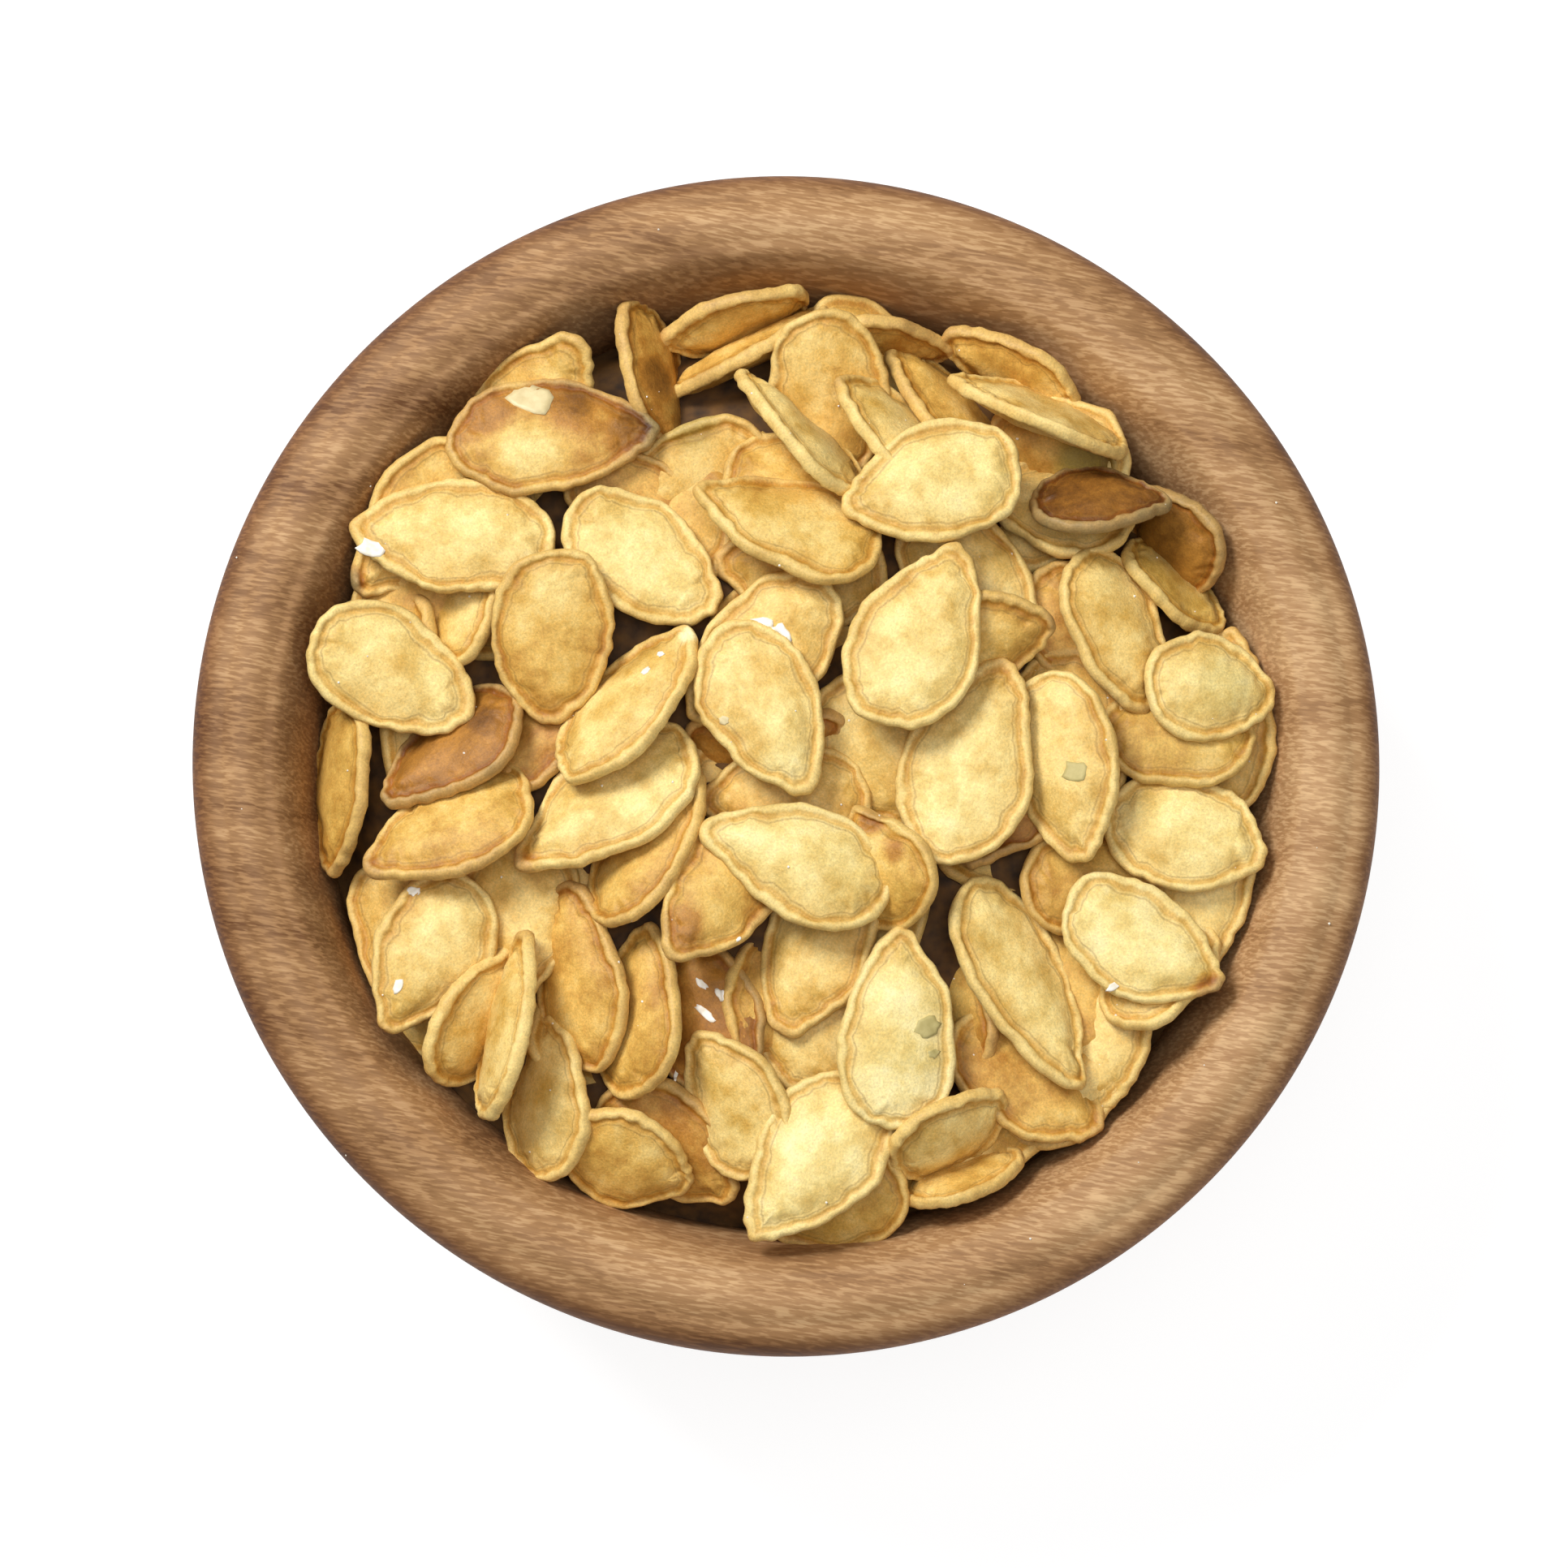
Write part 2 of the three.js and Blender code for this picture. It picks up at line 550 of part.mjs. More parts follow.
const wood = new THREE.MeshStandardMaterial({ color: '#9c7656', roughness: 0.5, metalness: 0 });
const shell = new THREE.MeshStandardMaterial({ color: '#e3c584', roughness: 0.55, metalness: 0 });

const woodenBowl = new THREE.Mesh(turned(bowlSection(), bowl.sides), wood);
woodenBowl.name = 'bowl';

const seedHeap = new THREE.Mesh(heapGeometry(), shell);
seedHeap.name = 'seed_heap';

const bowlOfSeeds = new THREE.Group();
bowlOfSeeds.add(woodenBowl, seedHeap);

export default bowlOfSeeds;
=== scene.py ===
"""A turned wooden bowl heaped with roasted pumpkin seeds in their shells, seen from almost overhead.

Sizes are in millimetres, as a wood turner would give them, and every mesh is made in metres.
"""

import logging
import math
from collections.abc import Callable
from dataclasses import dataclass, field
from enum import Enum

import bmesh
import bpy
import numpy as np
from mathutils import Matrix, Vector
from mathutils.bvhtree import BVHTree


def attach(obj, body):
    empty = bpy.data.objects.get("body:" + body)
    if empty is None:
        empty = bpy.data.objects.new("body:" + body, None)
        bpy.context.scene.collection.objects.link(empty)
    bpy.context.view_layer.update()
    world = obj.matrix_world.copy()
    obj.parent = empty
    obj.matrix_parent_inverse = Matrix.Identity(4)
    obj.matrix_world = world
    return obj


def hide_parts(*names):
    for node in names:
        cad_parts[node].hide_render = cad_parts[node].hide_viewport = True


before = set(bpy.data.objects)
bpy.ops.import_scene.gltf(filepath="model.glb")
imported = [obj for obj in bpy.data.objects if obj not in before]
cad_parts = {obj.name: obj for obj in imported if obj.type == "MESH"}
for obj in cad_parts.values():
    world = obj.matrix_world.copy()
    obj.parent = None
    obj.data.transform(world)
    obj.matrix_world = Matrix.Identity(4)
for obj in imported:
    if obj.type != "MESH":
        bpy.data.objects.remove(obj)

log = logging.getLogger("bowl_of_seeds")

MM = 0.001


# ---- Small tools ---------------------------------------------------------------------------------


def linear(hex_code: str) -> tuple[float, float, float, float]:
    """Turns an sRGB colour into the linear one that Blender's sockets take.

    Args:
        hex_code: The colour as "#rrggbb".

    Returns:
        Linear red, green and blue, and full opacity.
    """
    channels = [int(hex_code[k : k + 2], 16) / 255 for k in (1, 3, 5)]
    red, green, blue = [c / 12.92 if c <= 0.04045 else ((c + 0.055) / 1.055) ** 2.4 for c in channels]
    return (red, green, blue, 1.0)


def add(tree: bpy.types.NodeTree, kind: str, inputs: dict | None = None, **settings) -> bpy.types.Node:
    """Adds a node to a tree, with its settings, its values and its links.

    Args:
        tree: The tree that it goes into.
        kind: The node's Blender type.
        inputs: A value, or the socket to link from, for each input name or number.
        settings: The node's own properties; stops is a colour ramp's list of place and colour.

    Returns:
        The new node.
    """
    node = tree.nodes.new(kind)
    for name, value in settings.items():
        if name == "stops":
            ramp = node.color_ramp
            while len(ramp.elements) < len(value):
                ramp.elements.new(1.0)
            for element, (place, colour) in zip(ramp.elements, value):
                element.position = place
                element.color = linear(colour)
        else:
            setattr(node, name, value)
    for key, value in (inputs or {}).items():
        if isinstance(value, bpy.types.NodeSocket):
            tree.links.new(value, node.inputs[key])
        else:
            node.inputs[key].default_value = value
    return node


def new_material(name: str) -> tuple[bpy.types.Material, bpy.types.NodeTree, bpy.types.Node]:
    """Starts a material.

    Args:
        name: What the real material is, and how its surface was made.

    Returns:
        The material, its tree and the shader that the tree starts with.
    """
    material = bpy.data.materials.new(name)
    material.use_nodes = True
    return material, material.node_tree, material.node_tree.nodes["Principled BSDF"]


def smoothstep(low: float, high: float, value: np.ndarray) -> np.ndarray:
    """Rises smoothly from 0 at low to 1 at high."""
    share = np.clip((value - low) / (high - low), 0.0, 1.0)
    return share * share * (3 - 2 * share)


def new_piece(name: str, mesh: bpy.types.Mesh) -> bpy.types.Object:
    """Links a mesh into the scene as a smooth shaded object at the origin.

    Args:
        name: The piece's name.
        mesh: Its mesh, in metres and in place.

    Returns:
        The new object.
    """
    mesh.shade_smooth()
    piece = bpy.data.objects.new(name, mesh)
    bpy.context.scene.collection.objects.link(piece)
    return piece


def faces_between(rings: list[list[int]]) -> list[list[int]]:
    """Closes the surface between rings of points that follow each other.

    Args:
        rings: Each ring's point numbers; a ring that is one point repeats its number.

    Returns:
        The faces: quads, and triangles round a single point.
    """
    faces = []
    for lower, upper in zip(rings, rings[1:]):
        for i in range(len(lower)):
            j = (i + 1) % len(lower)
            faces.append(list(dict.fromkeys((lower[i], lower[j], upper[j], upper[i]))))
    return faces


def join_to_object(piece: bpy.types.Object, stands_for: str) -> None:
    """Makes a piece ride on the object in place of a plain solid.

    Args:
        piece: The finished piece.
        stands_for: The plain solid that it replaces.
    """
    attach(piece, "root")
    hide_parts(stands_for)
    piece.data.calc_loop_triangles()
    log.info("%s: %d triangles", piece.name, len(piece.data.loop_triangles))


# ---- The line of sight ---------------------------------------------------------------------------


@dataclass(frozen=True)
class Sight:
    """The photograph's line of sight, and how its pixels fall on the object.

    The lean is how far the line of sight is from straight down, and lean_toward the compass
    direction that it leans to, anticlockwise from +X.
    """

    frame_pixels: float = 1932
    bowl_x: float = 974
    bowl_y: float = 928
    pixels_per_mm: float = 13.05
    lean: float = math.radians(6.6)
    lean_toward: float = math.radians(250.7)
    distance: float = 400
    rim_height: float = 46
    sensor_width: float = 36

    @property
    def back(self) -> np.ndarray:
        """The way from the bowl to the eye."""
        flat, toward = math.sin(self.lean), self.lean_toward
        return np.array([flat * math.cos(toward), flat * math.sin(toward), math.cos(self.lean)])

    @property
    def right(self) -> np.ndarray:
        """The frame's right."""
        across = np.cross([0.0, 1.0, 0.0], self.back)
        return across / np.linalg.norm(across)

    @property
    def up(self) -> np.ndarray:
        """The frame's up."""
        return np.cross(self.back, self.right)

    @property
    def eye(self) -> np.ndarray:
        """Where the picture is taken from.

        Returns:
            The point in millimetres.
        """
        middle = self.frame_pixels / 2
        aim = np.array([0.0, 0.0, self.rim_height])
        aim += self.right * (middle - self.bowl_x) / self.pixels_per_mm
        aim += self.up * (self.bowl_y - middle) / self.pixels_per_mm
        return aim + self.back * self.distance

    def ray(self, pixel: tuple[float, float]) -> np.ndarray:
        """The way that the eye looks at a pixel.

        Args:
            pixel: x and y in the frame.

        Returns:
            A vector that is one unit deep.
        """
        middle = self.frame_pixels / 2
        focal = self.pixels_per_mm * self.distance
        across = self.right * (pixel[0] - middle) / focal
        return -self.back + across + self.up * (middle - pixel[1]) / focal

    def point_at(self, pixel: tuple[float, float], height: float) -> np.ndarray:
        """The point at a height that shows at a pixel.

        Args:
            pixel: x and y in the frame.
            height: The point's height in millimetres.

        Returns:
            The point in millimetres.
        """
        ray = self.ray(pixel)
        return self.eye + ray * (height - self.eye[2]) / ray[2]

    def add_camera(self) -> None:
        """Sets up the camera that sees what the photograph shows."""
        data = bpy.data.cameras.new("camera")
        data.sensor_width = self.sensor_width
        data.lens = data.sensor_width * self.pixels_per_mm * self.distance / self.frame_pixels
        data.clip_start = 0.01
        data.clip_end = 10.0
        camera = bpy.data.objects.new("camera", data)
        axes = Matrix((self.right, self.up, self.back)).transposed()
        camera.matrix_world = Matrix.Translation(Vector(self.eye * MM)) @ axes.to_4x4()
        bpy.context.scene.collection.objects.link(camera)
        bpy.context.scene.camera = camera


# ---- The bowl's form -----------------------------------------------------------------------------


@dataclass(frozen=True)
class BowlForm:
    """The bowl's section: the sizes that a turner would work to."""

    height: float = 46
    outer_radius: float = 56.6
    belly_height: float = 42
    foot_radius: float = 26
    round_over: float = 2.9
    shoulder: float = 0.7
    rim_inner_radius: float = 49.4
    inner_round: float = 2.1
    inner_round_depth: float = 4
    floor_thickness: float = 9.3
    wall_squareness: float = 3

    @property
    def edge_height(self) -> float:
        """The height of both edges of the rim, below its crown."""
        return self.height - self.shoulder

    @property
    def mouth_radius(self) -> float:
        """The radius of the opening."""
        return self.rim_inner_radius - self.inner_round

    @property
    def mouth_height(self) -> float:
        """The height at which the inside wall starts."""
        return self.edge_height - self.inner_round_depth

    @property
    def inside_depth(self) -> float:
        """How far the inside goes down from there."""
        return self.mouth_height - self.floor_thickness

    def inside_radius(self, height: np.ndarray, clearance: float = 0.0) -> np.ndarray:
        """The inside's radius at a height.

        Args:
            height: Heights in millimetres.
            clearance: How much smaller the result is than the wall.

        Returns:
            Radii in millimetres.
        """
        drop = np.clip((self.mouth_height - height) / (self.inside_depth - clearance), 0, 1)
        power = self.wall_squareness
        return (self.mouth_radius - clearance) * (1 - drop**power) ** (1 / power)


# ---- Where the seeds lie -------------------------------------------------------------------------


@dataclass(frozen=True)
class SeedPlace:
    """A seed that shows: its two ends in the photograph's pixels, its width in millimetres.

    The tilt is in degrees, raised is the compass direction of its higher side, and roast runs
    from 0, pale, to 1, dark brown. The name gives its part of the heap, a to i from the upper
    left, in rows.
    """

    name: str
    tip: tuple[float, float]
    blunt: tuple[float, float]
    width: float
    tilt: float
    raised: float
    roast: float


# From the bottom of the heap to its top.
SEEDS_THAT_SHOW = [
    SeedPlace("b12", tip=(902, 555), blunt=(782, 737), width=11, tilt=10, raised=330, roast=0.2),
    SeedPlace("b11", tip=(885, 672), blunt=(700, 580), width=10, tilt=12, raised=90, roast=0.35),
    SeedPlace("e6", tip=(880, 690), blunt=(1095, 715), width=11, tilt=8, raised=90, roast=0.2),
    SeedPlace("e8", tip=(1155, 1025), blunt=(1017, 841), width=11, tilt=8, raised=45, roast=0.15),
    SeedPlace("e9", tip=(862, 985), blunt=(1075, 985), width=11, tilt=5, raised=0, roast=0.2),
    SeedPlace("e7", tip=(1042, 888), blunt=(840, 930), width=9.5, tilt=45, raised=90, roast=0.5),
    SeedPlace("d5", tip=(600, 985), blunt=(715, 820), width=10, tilt=20, raised=315, roast=0.5),
    SeedPlace("d9", tip=(650, 1230), blunt=(635, 1020), width=11.5, tilt=5, raised=0, roast=0.15),
    SeedPlace("d7", tip=(505, 1260), blunt=(490, 1040), width=11, tilt=15, raised=0, roast=0.3),
    SeedPlace("d3", tip=(520, 740), blunt=(486, 955), width=10, tilt=50, raised=10, roast=0.2),
    SeedPlace("a5", tip=(580, 660), blunt=(452, 800), width=10.5, tilt=10, raised=30, roast=0.3),
    SeedPlace("a6", tip=(585, 640), blunt=(548, 828), width=11, tilt=45, raised=340, roast=0.1),
    SeedPlace("a3", tip=(425, 722), blunt=(588, 545), width=11.3, tilt=20, raised=135, roast=0.3),
    SeedPlace("a1", tip=(712, 420), blunt=(590, 590), width=11, tilt=25, raised=60, roast=0.3),
    SeedPlace("b13", tip=(1178, 428), blunt=(995, 420), width=10, tilt=78, raised=90, roast=0.4),
    SeedPlace("c1", tip=(1163, 413), blunt=(1332, 505), width=10, tilt=66, raised=62, roast=0.4),
    SeedPlace("c4", tip=(1250, 495), blunt=(1372, 615), width=11, tilt=12, raised=45, roast=0.1),
    SeedPlace("c3", tip=(1222, 520), blunt=(1368, 612), width=10.5, tilt=25, raised=60, roast=0.4),
    SeedPlace("c7", tip=(1402, 602), blunt=(1490, 722), width=11, tilt=55, raised=34, roast=0.8),
    SeedPlace("c6", tip=(1205, 600), blunt=(1400, 640), width=11, tilt=20, raised=270, roast=0.1),
    SeedPlace("f5", tip=(1400, 870), blunt=(1280, 704), width=11, tilt=10, raised=180, roast=0.4),
    SeedPlace("f6", tip=(1270, 802), blunt=(1122, 624), width=11, tilt=10, raised=45, roast=0.15),
    SeedPlace("f4", tip=(1368, 1003), blunt=(1284, 803), width=11, tilt=15, raised=30, roast=0.15),
    SeedPlace("f10", tip=(1528, 772), blunt=(1503, 1005), width=11.5, tilt=20, raised=0, roast=0.2),
    SeedPlace("f8", tip=(1345, 905), blunt=(1546, 905), width=11, tilt=15, raised=270, roast=0.4),
    SeedPlace("f13", tip=(1183, 1066), blunt=(1320, 905), width=10, tilt=20, raised=315, roast=0.4),
    SeedPlace("f12", tip=(1492, 1192), blunt=(1462, 985), width=11, tilt=12, raised=0, roast=0.1),
    SeedPlace("f11", tip=(1455, 1075), blunt=(1253, 1098), width=10.5, tilt=12, raised=180, roast=0.3),
    SeedPlace("i8", tip=(1250, 1130), blunt=(1370, 1300), width=10.5, tilt=8, raised=0, roast=0.35),
    SeedPlace("i6", tip=(1392, 1282), blunt=(1243, 1394), width=10, tilt=10, raised=0, roast=0.15),
    SeedPlace("i4", tip=(1350, 1375), blunt=(1352, 1165), width=11, tilt=20, raised=0, roast=0.1),
    SeedPlace("i7", tip=(1150, 1140), blunt=(1203, 1325), width=10, tilt=55, raised=0, roast=0.3),
    SeedPlace("i5", tip=(1500, 1150), blunt=(1362, 1258), width=9, tilt=35, raised=300, roast=0.2),
    SeedPlace("g13", tip=(1050, 1140), blunt=(978, 1345), width=11, tilt=8, raised=0, roast=0.1),
    SeedPlace("g12", tip=(975, 1105), blunt=(932, 1312), width=10, tilt=25, raised=190, roast=0.35),
    SeedPlace("g10", tip=(850, 1150), blunt=(895, 1350), width=10.5, tilt=15, raised=0, roast=0.66),
    SeedPlace("g2", tip=(643, 1167), blunt=(536, 1334), width=10, tilt=50, raised=149, roast=0.15),
    SeedPlace("g8", tip=(908, 1478), blunt=(745, 1345), width=11, tilt=30, raised=55, roast=0.35),
    SeedPlace("g7", tip=(856, 1458), blunt=(693, 1400), width=11, tilt=40, raised=72, roast=0.3),
    SeedPlace("h3", tip=(920, 1520), blunt=(1120, 1480), width=11, tilt=20, raised=60, roast=0.35),
    SeedPlace("h5", tip=(1262, 1424), blunt=(1112, 1472), width=9.8, tilt=60, raised=289, roast=0.2),
    SeedPlace("b2", tip=(815, 422), blunt=(998, 370), width=10.5, tilt=74, raised=106, roast=0.25),
    SeedPlace("b3", tip=(818, 487), blunt=(1022, 384), width=10.5, tilt=76, raised=300, roast=0.2),
    SeedPlace("b4", tip=(1035, 600), blunt=(1010, 388), width=11.5, tilt=20, raised=90, roast=0.25),
    SeedPlace("b1", tip=(832, 572), blunt=(780, 368), width=10.5, tilt=58, raised=192, roast=0.4),
    SeedPlace("b9", tip=(750, 645), blunt=(945, 550), width=11, tilt=15, raised=90, roast=0.15),
    SeedPlace("b10", tip=(1080, 650), blunt=(893, 568), width=10.5, tilt=20, raised=249, roast=0.3),
    SeedPlace("b14", tip=(1096, 424), blunt=(1235, 575), width=11, tilt=52, raised=223, roast=0.2),
    SeedPlace("b5", tip=(908, 458), blunt=(1062, 608), width=11, tilt=66, raised=226, roast=0.2),
    SeedPlace("b6", tip=(1030, 468), blunt=(1190, 603), width=11, tilt=50, raised=220, roast=0.2),
    SeedPlace("c2", tip=(1172, 462), blunt=(1390, 556), width=11, tilt=62, raised=247, roast=0.25),
    SeedPlace("c8", tip=(1508, 782), blunt=(1385, 668), width=11, tilt=57, raised=228, roast=0.2),
    SeedPlace("c5", tip=(1444, 618), blunt=(1271, 618), width=10.2, tilt=47, raised=272, roast=1.1),
    SeedPlace("f1", tip=(1298, 775), blunt=(1085, 800), width=10.5, tilt=30, raised=90, roast=0.35),
    SeedPlace("e5", tip=(852, 884), blunt=(1024, 722), width=10.8, tilt=8, raised=45, roast=0.15),
    SeedPlace("g9", tip=(862, 1268), blunt=(945, 1450), width=10.4, tilt=28, raised=25, roast=0.15),
    SeedPlace("g11", tip=(964, 1277), blunt=(1043, 1080), width=11, tilt=15, raised=338, roast=0.15),
    SeedPlace("g6", tip=(800, 1135), blunt=(775, 1355), width=11, tilt=45, raised=355, roast=0.3),
    SeedPlace("g4", tip=(672, 1260), blunt=(662, 1468), width=11, tilt=45, raised=0, roast=0.05),
    SeedPlace("g3", tip=(650, 1146), blunt=(601, 1384), width=11, tilt=70, raised=348, roast=0.2),
    SeedPlace("g5", tip=(697, 1090), blunt=(733, 1325), width=10.2, tilt=36, raised=9, roast=0.36),
    SeedPlace("e3", tip=(857, 940), blunt=(743, 1140), width=11, tilt=45, raised=328, roast=0.35),
    SeedPlace("e2", tip=(640, 1070), blunt=(850, 908), width=12.5, tilt=30, raised=307, roast=0.08),
    SeedPlace("e11", tip=(824, 1186), blunt=(950, 1010), width=10.5, tilt=15, raised=225, roast=0.5),
    SeedPlace("e12", tip=(1056, 992), blunt=(1124, 1142), width=10.5, tilt=40, raised=24, roast=0.3),
    SeedPlace("e10", tip=(863, 1014), blunt=(1097, 1108), width=11.2, tilt=6, raised=240, roast=0.05),
    SeedPlace("g1", tip=(476, 1275), blunt=(578, 1082), width=11, tilt=5, raised=135, roast=0.15),
    SeedPlace("d2", tip=(411, 1082), blunt=(428, 858), width=11, tilt=62, raised=357, roast=0.34),
    SeedPlace("d6", tip=(450, 1072), blunt=(655, 968), width=12, tilt=32, raised=297, roast=0.44),
    SeedPlace("d4", tip=(472, 993), blunt=(636, 858), width=11, tilt=37, raised=310, roast=0.74),
    SeedPlace("i3", tip=(1358, 1394), blunt=(1175, 1265), width=11, tilt=15, raised=225, roast=0.3),
    SeedPlace("h4", tip=(1242, 1354), blunt=(1097, 1440), width=10.5, tilt=52, raised=120, roast=0.25),
    SeedPlace("i2", tip=(1328, 1342), blunt=(1192, 1085), width=10.5, tilt=30, raised=208, roast=0.1),
    SeedPlace("c9", tip=(1412, 876), blunt=(1336, 677), width=10.4, tilt=25, raised=200, roast=0.15),
    SeedPlace("i1", tip=(1503, 1218), blunt=(1312, 1108), width=10.8, tilt=5, raised=250, roast=0.05),
    SeedPlace("f9", tip=(1561, 1051), blunt=(1360, 1004), width=11.5, tilt=8, raised=270, roast=0.08),
    SeedPlace("f3", tip=(1335, 1065), blunt=(1288, 826), width=11.2, tilt=25, raised=0, roast=0.2),
    SeedPlace("f2", tip=(1236, 812), blunt=(1156, 1062), width=12.6, tilt=8, raised=340, roast=0.1),
    SeedPlace("f0", tip=(1184, 668), blunt=(1082, 893), width=12.4, tilt=6, raised=300, roast=0.2),
    SeedPlace("h1", tip=(928, 1528), blunt=(1075, 1332), width=12, tilt=3, raised=300, roast=0.02),
    SeedPlace("h2", tip=(1112, 1140), blunt=(1100, 1395), width=11.5, tilt=4, raised=180, roast=0.05),
    SeedPlace("e4", tip=(998, 980), blunt=(888, 772), width=11.5, tilt=3, raised=230, roast=0.05),
    SeedPlace("e1", tip=(852, 776), blunt=(695, 958), width=10.9, tilt=42, raised=319, roast=0.18),
    SeedPlace("b8", tip=(855, 600), blunt=(1086, 690), width=11.5, tilt=33, raised=249, roast=0.36),
    SeedPlace("b7", tip=(1036, 628), blunt=(1259, 566), width=11.9, tilt=8, raised=270, roast=0.15),
    SeedPlace("a2", tip=(812, 528), blunt=(551, 546), width=11.6, tilt=8, raised=270, roast=0.55),
    SeedPlace("a4", tip=(432, 650), blunt=(684, 668), width=11.3, tilt=8, raised=270, roast=0.15),
    SeedPlace("a7", tip=(884, 757), blunt=(701, 622), width=11, tilt=5, raised=230, roast=0.05),
    SeedPlace("a8", tip=(668, 890), blunt=(694, 679), width=11.8, tilt=15, raised=90, roast=0.26),
    SeedPlace("d1", tip=(562, 876), blunt=(368, 770), width=11.3, tilt=9, raised=150, roast=0.1),
    SeedPlace("c10", tip=(1576, 852), blunt=(1409, 841), width=10.6, tilt=12, raised=200, roast=0.15),
]


@dataclass
class Pose:
    """How a seed lies: its middle, its three axes and its length, in millimetres."""

    middle: np.ndarray
    along: np.ndarray
    across: np.ndarray
    out: np.ndarray
    length: float


def lay_out(tip: np.ndarray, blunt: np.ndarray, tilt: float, raised: float) -> Pose:
    """Finds how a seed lies from its two ends and its tilt.

    Args:
        tip: The tip, at the middle's height.
        blunt: The blunt end, at the middle's height.
        tilt: How far its face leans from level, in degrees.
        raised: The compass direction of its higher side, in degrees.

    Returns:
        Its pose, with its true length.
    """
    lean, toward = math.radians(tilt), math.radians(raised)
    flat = -math.sin(lean)
    out = np.array([flat * math.cos(toward), flat * math.sin(toward), math.cos(lean)])
    along = blunt - tip
    along[2] = -(along[0] * out[0] + along[1] * out[1]) / out[2]
    length = float(np.linalg.norm(along))
    along /= length
    return Pose((tip + blunt) / 2, along, np.cross(out, along), out, length)


@dataclass(frozen=True)
class SeedOutline:
    """The outline and thickness that all the seeds share."""

    thickness: float = 2.9
    taper: float = 0.45
    widest: float = 0.8812
    tip_half_width: float = 0.9
    roundness: float = 2.6
    end_squareness: float = 3
    edge_share: float = 0.12

    def half_width(self, along: np.ndarray, width: float) -> np.ndarray:
        """Half the width at places along the seed.

        Args:
            along: The places, from -1 at the tip to 1 at the blunt end.
            width: The seed's full width.

        Returns:
            Half the width at each place.
        """
        angle = np.arccos(np.clip(along, -1, 1))
        drop = np.sin(angle) * (1 - self.taper + self.taper * np.cos(angle / 2))
        return width / 2 * drop / self.widest

    def touch_grid(self, width: float, rows: int = 27, columns: int = 15) -> np.ndarray:
        """The places where a seed's faces are felt for what they touch.

        Args:
            width: The seed's width.
            rows: How many places along it.
            columns: How many across it.

        Returns:
            For each place its share along, its distance across and half the thickness there.
        """
        along = (np.arange(rows) + 0.5) / rows * 2 - 1
        across = (np.arange(columns) + 0.5) / columns * 2 - 1
        half = np.maximum(self.half_width(along, width), np.where(along < 0, self.tip_half_width, 0))
        outward = np.maximum(np.abs(across)[None, :], np.abs(along)[:, None] ** self.end_squareness)
        bulge = np.clip(1 - outward**self.roundness, self.edge_share, 1)
        depth = self.thickness / 2 * np.sqrt(bulge)
        spread = across[None, :] * half[:, None]
        return np.stack([np.repeat(along, columns), spread.ravel(), depth.ravel()], axis=1)


class HeightField:
    """A height over the bowl's plan, in cells of one millimetre."""

    half = 50

    def __init__(self, height_at: Callable[[np.ndarray], np.ndarray]) -> None:
        """Fills the field with a height for each distance from the bowl's axis."""
        places = np.arange(2 * self.half) + 0.5 - self.half
        self.height = height_at(np.hypot(places[:, None], places[None, :]))

    def cells_of(self, points: np.ndarray) -> tuple[np.ndarray, np.ndarray]:
        """The cells that points lie over."""
        cells = np.clip(np.floor(points[:, :2] + self.half).astype(int), 0, 2 * self.half - 1)
        return cells[:, 0], cells[:, 1]

    def depths_of(self, points: np.ndarray) -> np.ndarray:
        """How far each point lies below the field, least first."""
        return np.sort(self.height[self.cells_of(points)] - points[:, 2])


@dataclass(frozen=True)
class HeapRule:
    """How the seeds settle against each other, and what lies under them."""

    crown_above_rim: float = 7
    edge_above_rim: float = 0.5
    loose_depth_middle: float = 8
    loose_depth_edge: float = 3.5
    lap: float = 1.6
    contact_share: float = 0.1
    deepest_press: float = 1.5
    bite: float = 0.75
    settling_rounds: int = 5
    core_depth: float = 10.2
    gap: float = 0.4
    fill_count: int = 25
    fill_length: float = 17.5
    fill_width: float = 10.5
    fill_least_tilt: float = 8
    fill_most_tilt: float = 32
    fill_depth: float = 4
    fill_inset: float = 7
    heading_step: float = 0.7549
    tilt_step: float = 0.5698
    raised_step: float = 0.3247

    def top(self, form: BowlForm, radius: np.ndarray) -> np.ndarray:
        """The heap's top surface before any seed lies under it."""
        outward = np.minimum(radius / form.mouth_radius, 1) ** 2
        return form.height + self.crown_above_rim + (self.edge_above_rim - self.crown_above_rim) * outward

    def loosest(self, form: BowlForm, radius: np.ndarray) -> np.ndarray:
        """The lowest that the seeds that show may lie.

        Args:
            form: The bowl.
            radius: Distances from its axis.

        Returns:
            A height for each distance.
        """
        outward = np.minimum(radius / form.mouth_radius, 1) ** 4
        depth = self.loose_depth_middle + (self.loose_depth_edge - self.loose_depth_middle) * outward
        return self.top(form, radius) - depth

    def core_top(self, form: BowlForm, radius: np.ndarray) -> np.ndarray:
        """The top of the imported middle."""
        return self.top(form, radius) - self.core_depth


